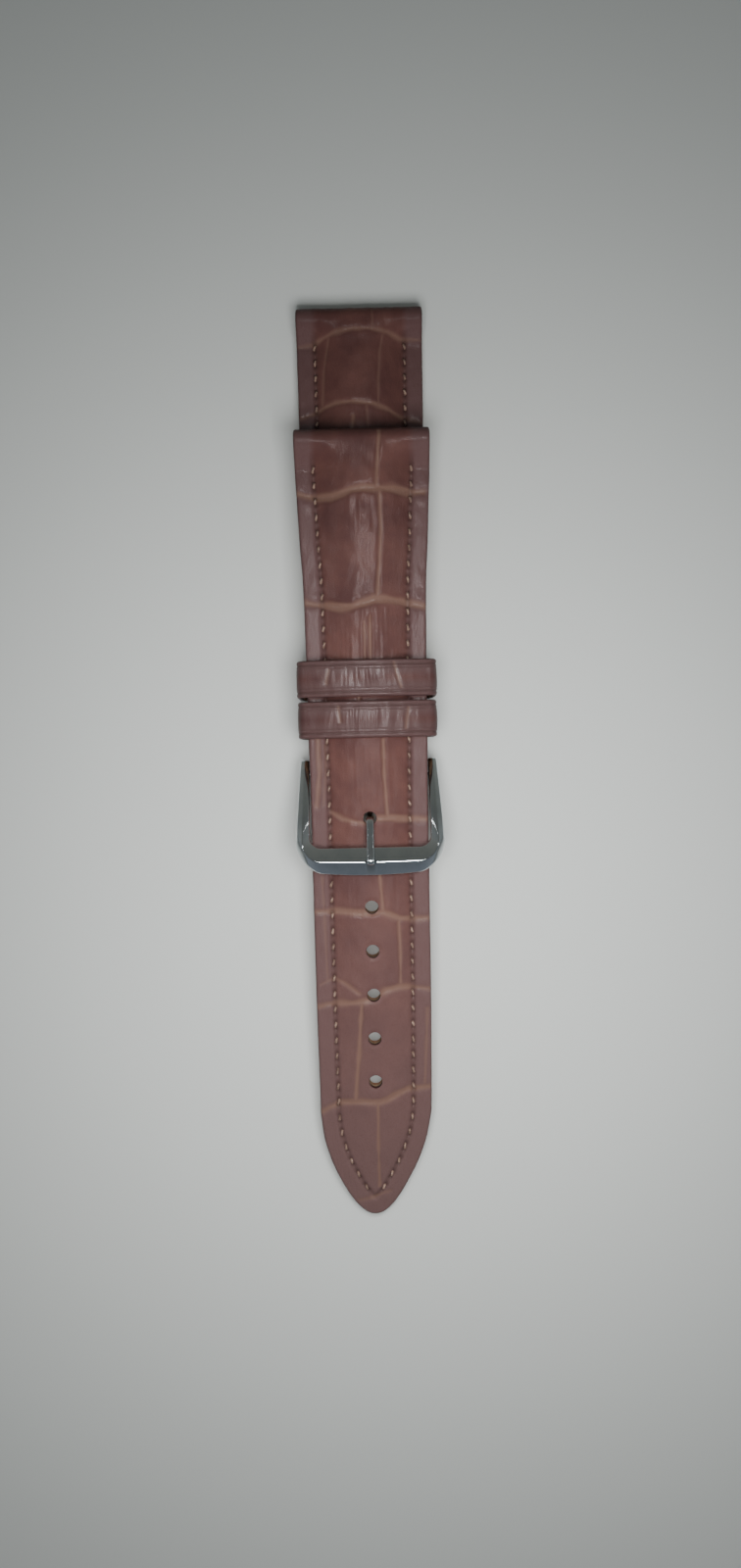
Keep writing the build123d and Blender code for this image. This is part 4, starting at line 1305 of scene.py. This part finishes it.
# Straps: where each one's padding runs, and its stiffener's and its lining's gaps at its low end
for body, strap, filler_ends, stiff_gap, lining_gap in (
    ("short_strap", short, (6.0, 67.6), 1.65, 1.2), ("long_strap", long, (-64.0, 47.6), 0.0, 0.0)
):
    upper = upper_layer(body + "_outer_leather", strap)
    filler = filler_layer(body + "_padding", strap, *filler_ends)
    stiff = slab_layer(
        body + "_stiffener", strap, LINING, STIFFENER - LAYER_GAP, 0.15, stiff_gap, 1.85, 41
    )
    lining = slab_layer(
        body + "_back_leather", strap, 0.0, LINING - LAYER_GAP, 0.0, lining_gap, 1.45, 61, 0.3, 0.2
    )
    stitches = stitching(body + "_stitches", strap)
    combine(upper, [bore_cutter(strap, strap.high - LUG_RING, LUG_BORE, LUG_RING)])
    if strap.folded:
        combine(upper, [bore_cutter(strap, 0.0, BARREL, HINGE_LOOP)])
        for piece in (upper, stiff, lining):
            combine(piece, [notch_cutter()])
    else:
        for piece in (upper, filler, stiff, lining):
            combine(piece, hole_cutters())
    for piece, material, slot, node in (
        (upper, outer_leather, "outer_leather", "_upper"), (filler, padding, "padding", "_filler"),
        (stiff, stiffener, "stiffener", "_reinforcement"),
        (lining, lining_leather, "lining_leather", "_lining"), (stitches, thread, "thread", "_thread"),
    ):
        dress(piece, material, slot, body, body + node)
        if strap is long:
            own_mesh(piece)

# Keepers: their grooves run across the photograph's tan lines
FLOATING_GROOVES = [[(-5.8, 1.3), (-6.2, -0.8)], [(4.2, 2.2), (4.6, 0.4), (5.2, -1.5)]]
FIXED_GROOVES = [[(6.3, 1.6), (6.0, 0.0), (5.8, -1.5)], [(-4.4, 2.0), (-4.2, -0.4)]]
for name, body, s, bottom, grooves, bulge, seed in (
    ("fixed_keeper", "short_strap", FIXED_KEEPER, -0.02, FIXED_GROOVES, 0.0, 3),
    ("floating_keeper", "floating_keeper", FLOATING_KEEPER, -0.3, FLOATING_GROOVES, 0.1, 5),
):
    band = keeper_layer(
        name + "_outer_leather", s, bottom, KEEPER_LINING, KEEPER_BAND, 0.0, grooves, bulge, seed
    )
    dress(band, keeper_leather, "outer_leather", body, name + "_band")
    inner = keeper_layer(
        name + "_back_leather", s, bottom, 0.0, KEEPER_LINING - 0.02, KEEPER_LINING_INSET, seed=seed + 1
    )
    dress(inner, lining_leather, "lining_leather", body, name + "_lining")
    seam = keeper_stitches(name + "_stitches", s, bottom)
    dress(seam, thread, "thread", body, name + "_thread")

# Buckle
polished_frame = frame_mesh("buckle_frame_polished")
dress(polished_frame, polished_steel, "buckle_steel", "buckle", "buckle_frame")
polished_tongue = tongue_mesh("buckle_tongue_polished")
dress(polished_tongue, polished_steel, "buckle_steel", "tongue", "buckle_tongue")
for side, end in ((-1, "left"), (1, "right")):
    coil, shortened = coil_mesh("spring_bar_spring_" + end, side)
    dress(coil, bar_steel, "spring_bar_steel", "short_strap", "spring_bar_spring")
    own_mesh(coil)
for node in ("spring_bar_barrel", "spring_bar_tip_left", "spring_bar_tip_right"):
    metal_node = frame["nodes"][node]
    metal_node.data.materials.clear()
    metal_node.data.materials.append(bar_steel)

# Surface that the strap lies on, and the light
FLOOR_HALF = 0.6
FLOOR_DROP = 0.00013
floor_mesh = bpy.data.meshes.new("floor")
floor_mesh.from_pydata(
    [(x * FLOOR_HALF, y * FLOOR_HALF, 0) for x, y in ((-1, -1), (1, -1), (1, 1), (-1, 1))], [], [(0, 1, 2, 3)]
)
floor = bpy.data.objects.new("floor", floor_mesh)
bpy.context.scene.collection.objects.link(floor)
pale = Shading(bpy.data.materials.new("pale_surface"))
pale.fill(pale.shader, Base_Color=srgb(200, 203, 200), Roughness=0.9)
floor_mesh.materials.append(pale.owner)
floor.location = (0, 0, -FLOOR_DROP)


def lamp(name, kind, power, location, target, **settings):
    """A light that faces a point and stays out of sight."""
    data = bpy.data.lights.new(name, kind)
    data.energy = power
    for setting, value in settings.items():
        setattr(data, setting, value)
    light = bpy.data.objects.new(name, data)
    light.location = location
    light.rotation_euler = (Vector(target) - Vector(location)).to_track_quat("-Z", "Y").to_euler()
    light.visible_camera = False
    bpy.context.scene.collection.objects.link(light)
    return light


# Lamps that make only highlights, on a round patch: over the ridge of the buckle's bar, and at its sides
for name, power, patch, distance, place, target in (
    ("soft_key", 11.0, 0.052, 0.5, (0.0, 0.07, 0.5), (0.0, 0.008, 0.0)),
    ("glint", 5.5, 0.022, 0.3, (-0.19, 0.052, 0.22), (0.0, -0.014, 0.008)),
    ("glint", 5.5, 0.022, 0.3, (0.19, 0.052, 0.22), (0.0, -0.014, 0.008)),
):
    spot = lamp(
        name, "SPOT", power, place, target,
        shadow_soft_size=0.055, spot_size=2 * math.atan(patch / distance), spot_blend=1.0,
    )
    spot.visible_diffuse = False
# Soft square lights that make none
for name, size, power, place in (
    ("soft_fill", 0.07, 0.22, (0.007, -0.022, 0.11)), ("soft_sky", 1.0, 0.15, (0.0, 0.0, 0.8))
):
    fill = lamp(name, "AREA", power, place, (place[0], place[1], 0), size=size)
    fill.visible_glossy = False

# Dim surroundings, a little lighter towards the horizon and cooler towards the strap's tip
sky = Shading(bpy.data.worlds.new("world"), "Background")
direction = sky.add("SeparateXYZ", Vector=sky.add("TexCoord").outputs["Generated"])
tint = sky.ramp(direction.outputs["Y"], -0.9, 0.9)
sky.fill(
    sky.shader, Color=sky.mix(tint, srgb(192, 202, 214), srgb(204, 208, 198)),
    Strength=sky.ramp(direction.outputs["Z"], 0.1, 0.95, 0.4, 0.17),
)
bpy.context.scene.world = sky.owner
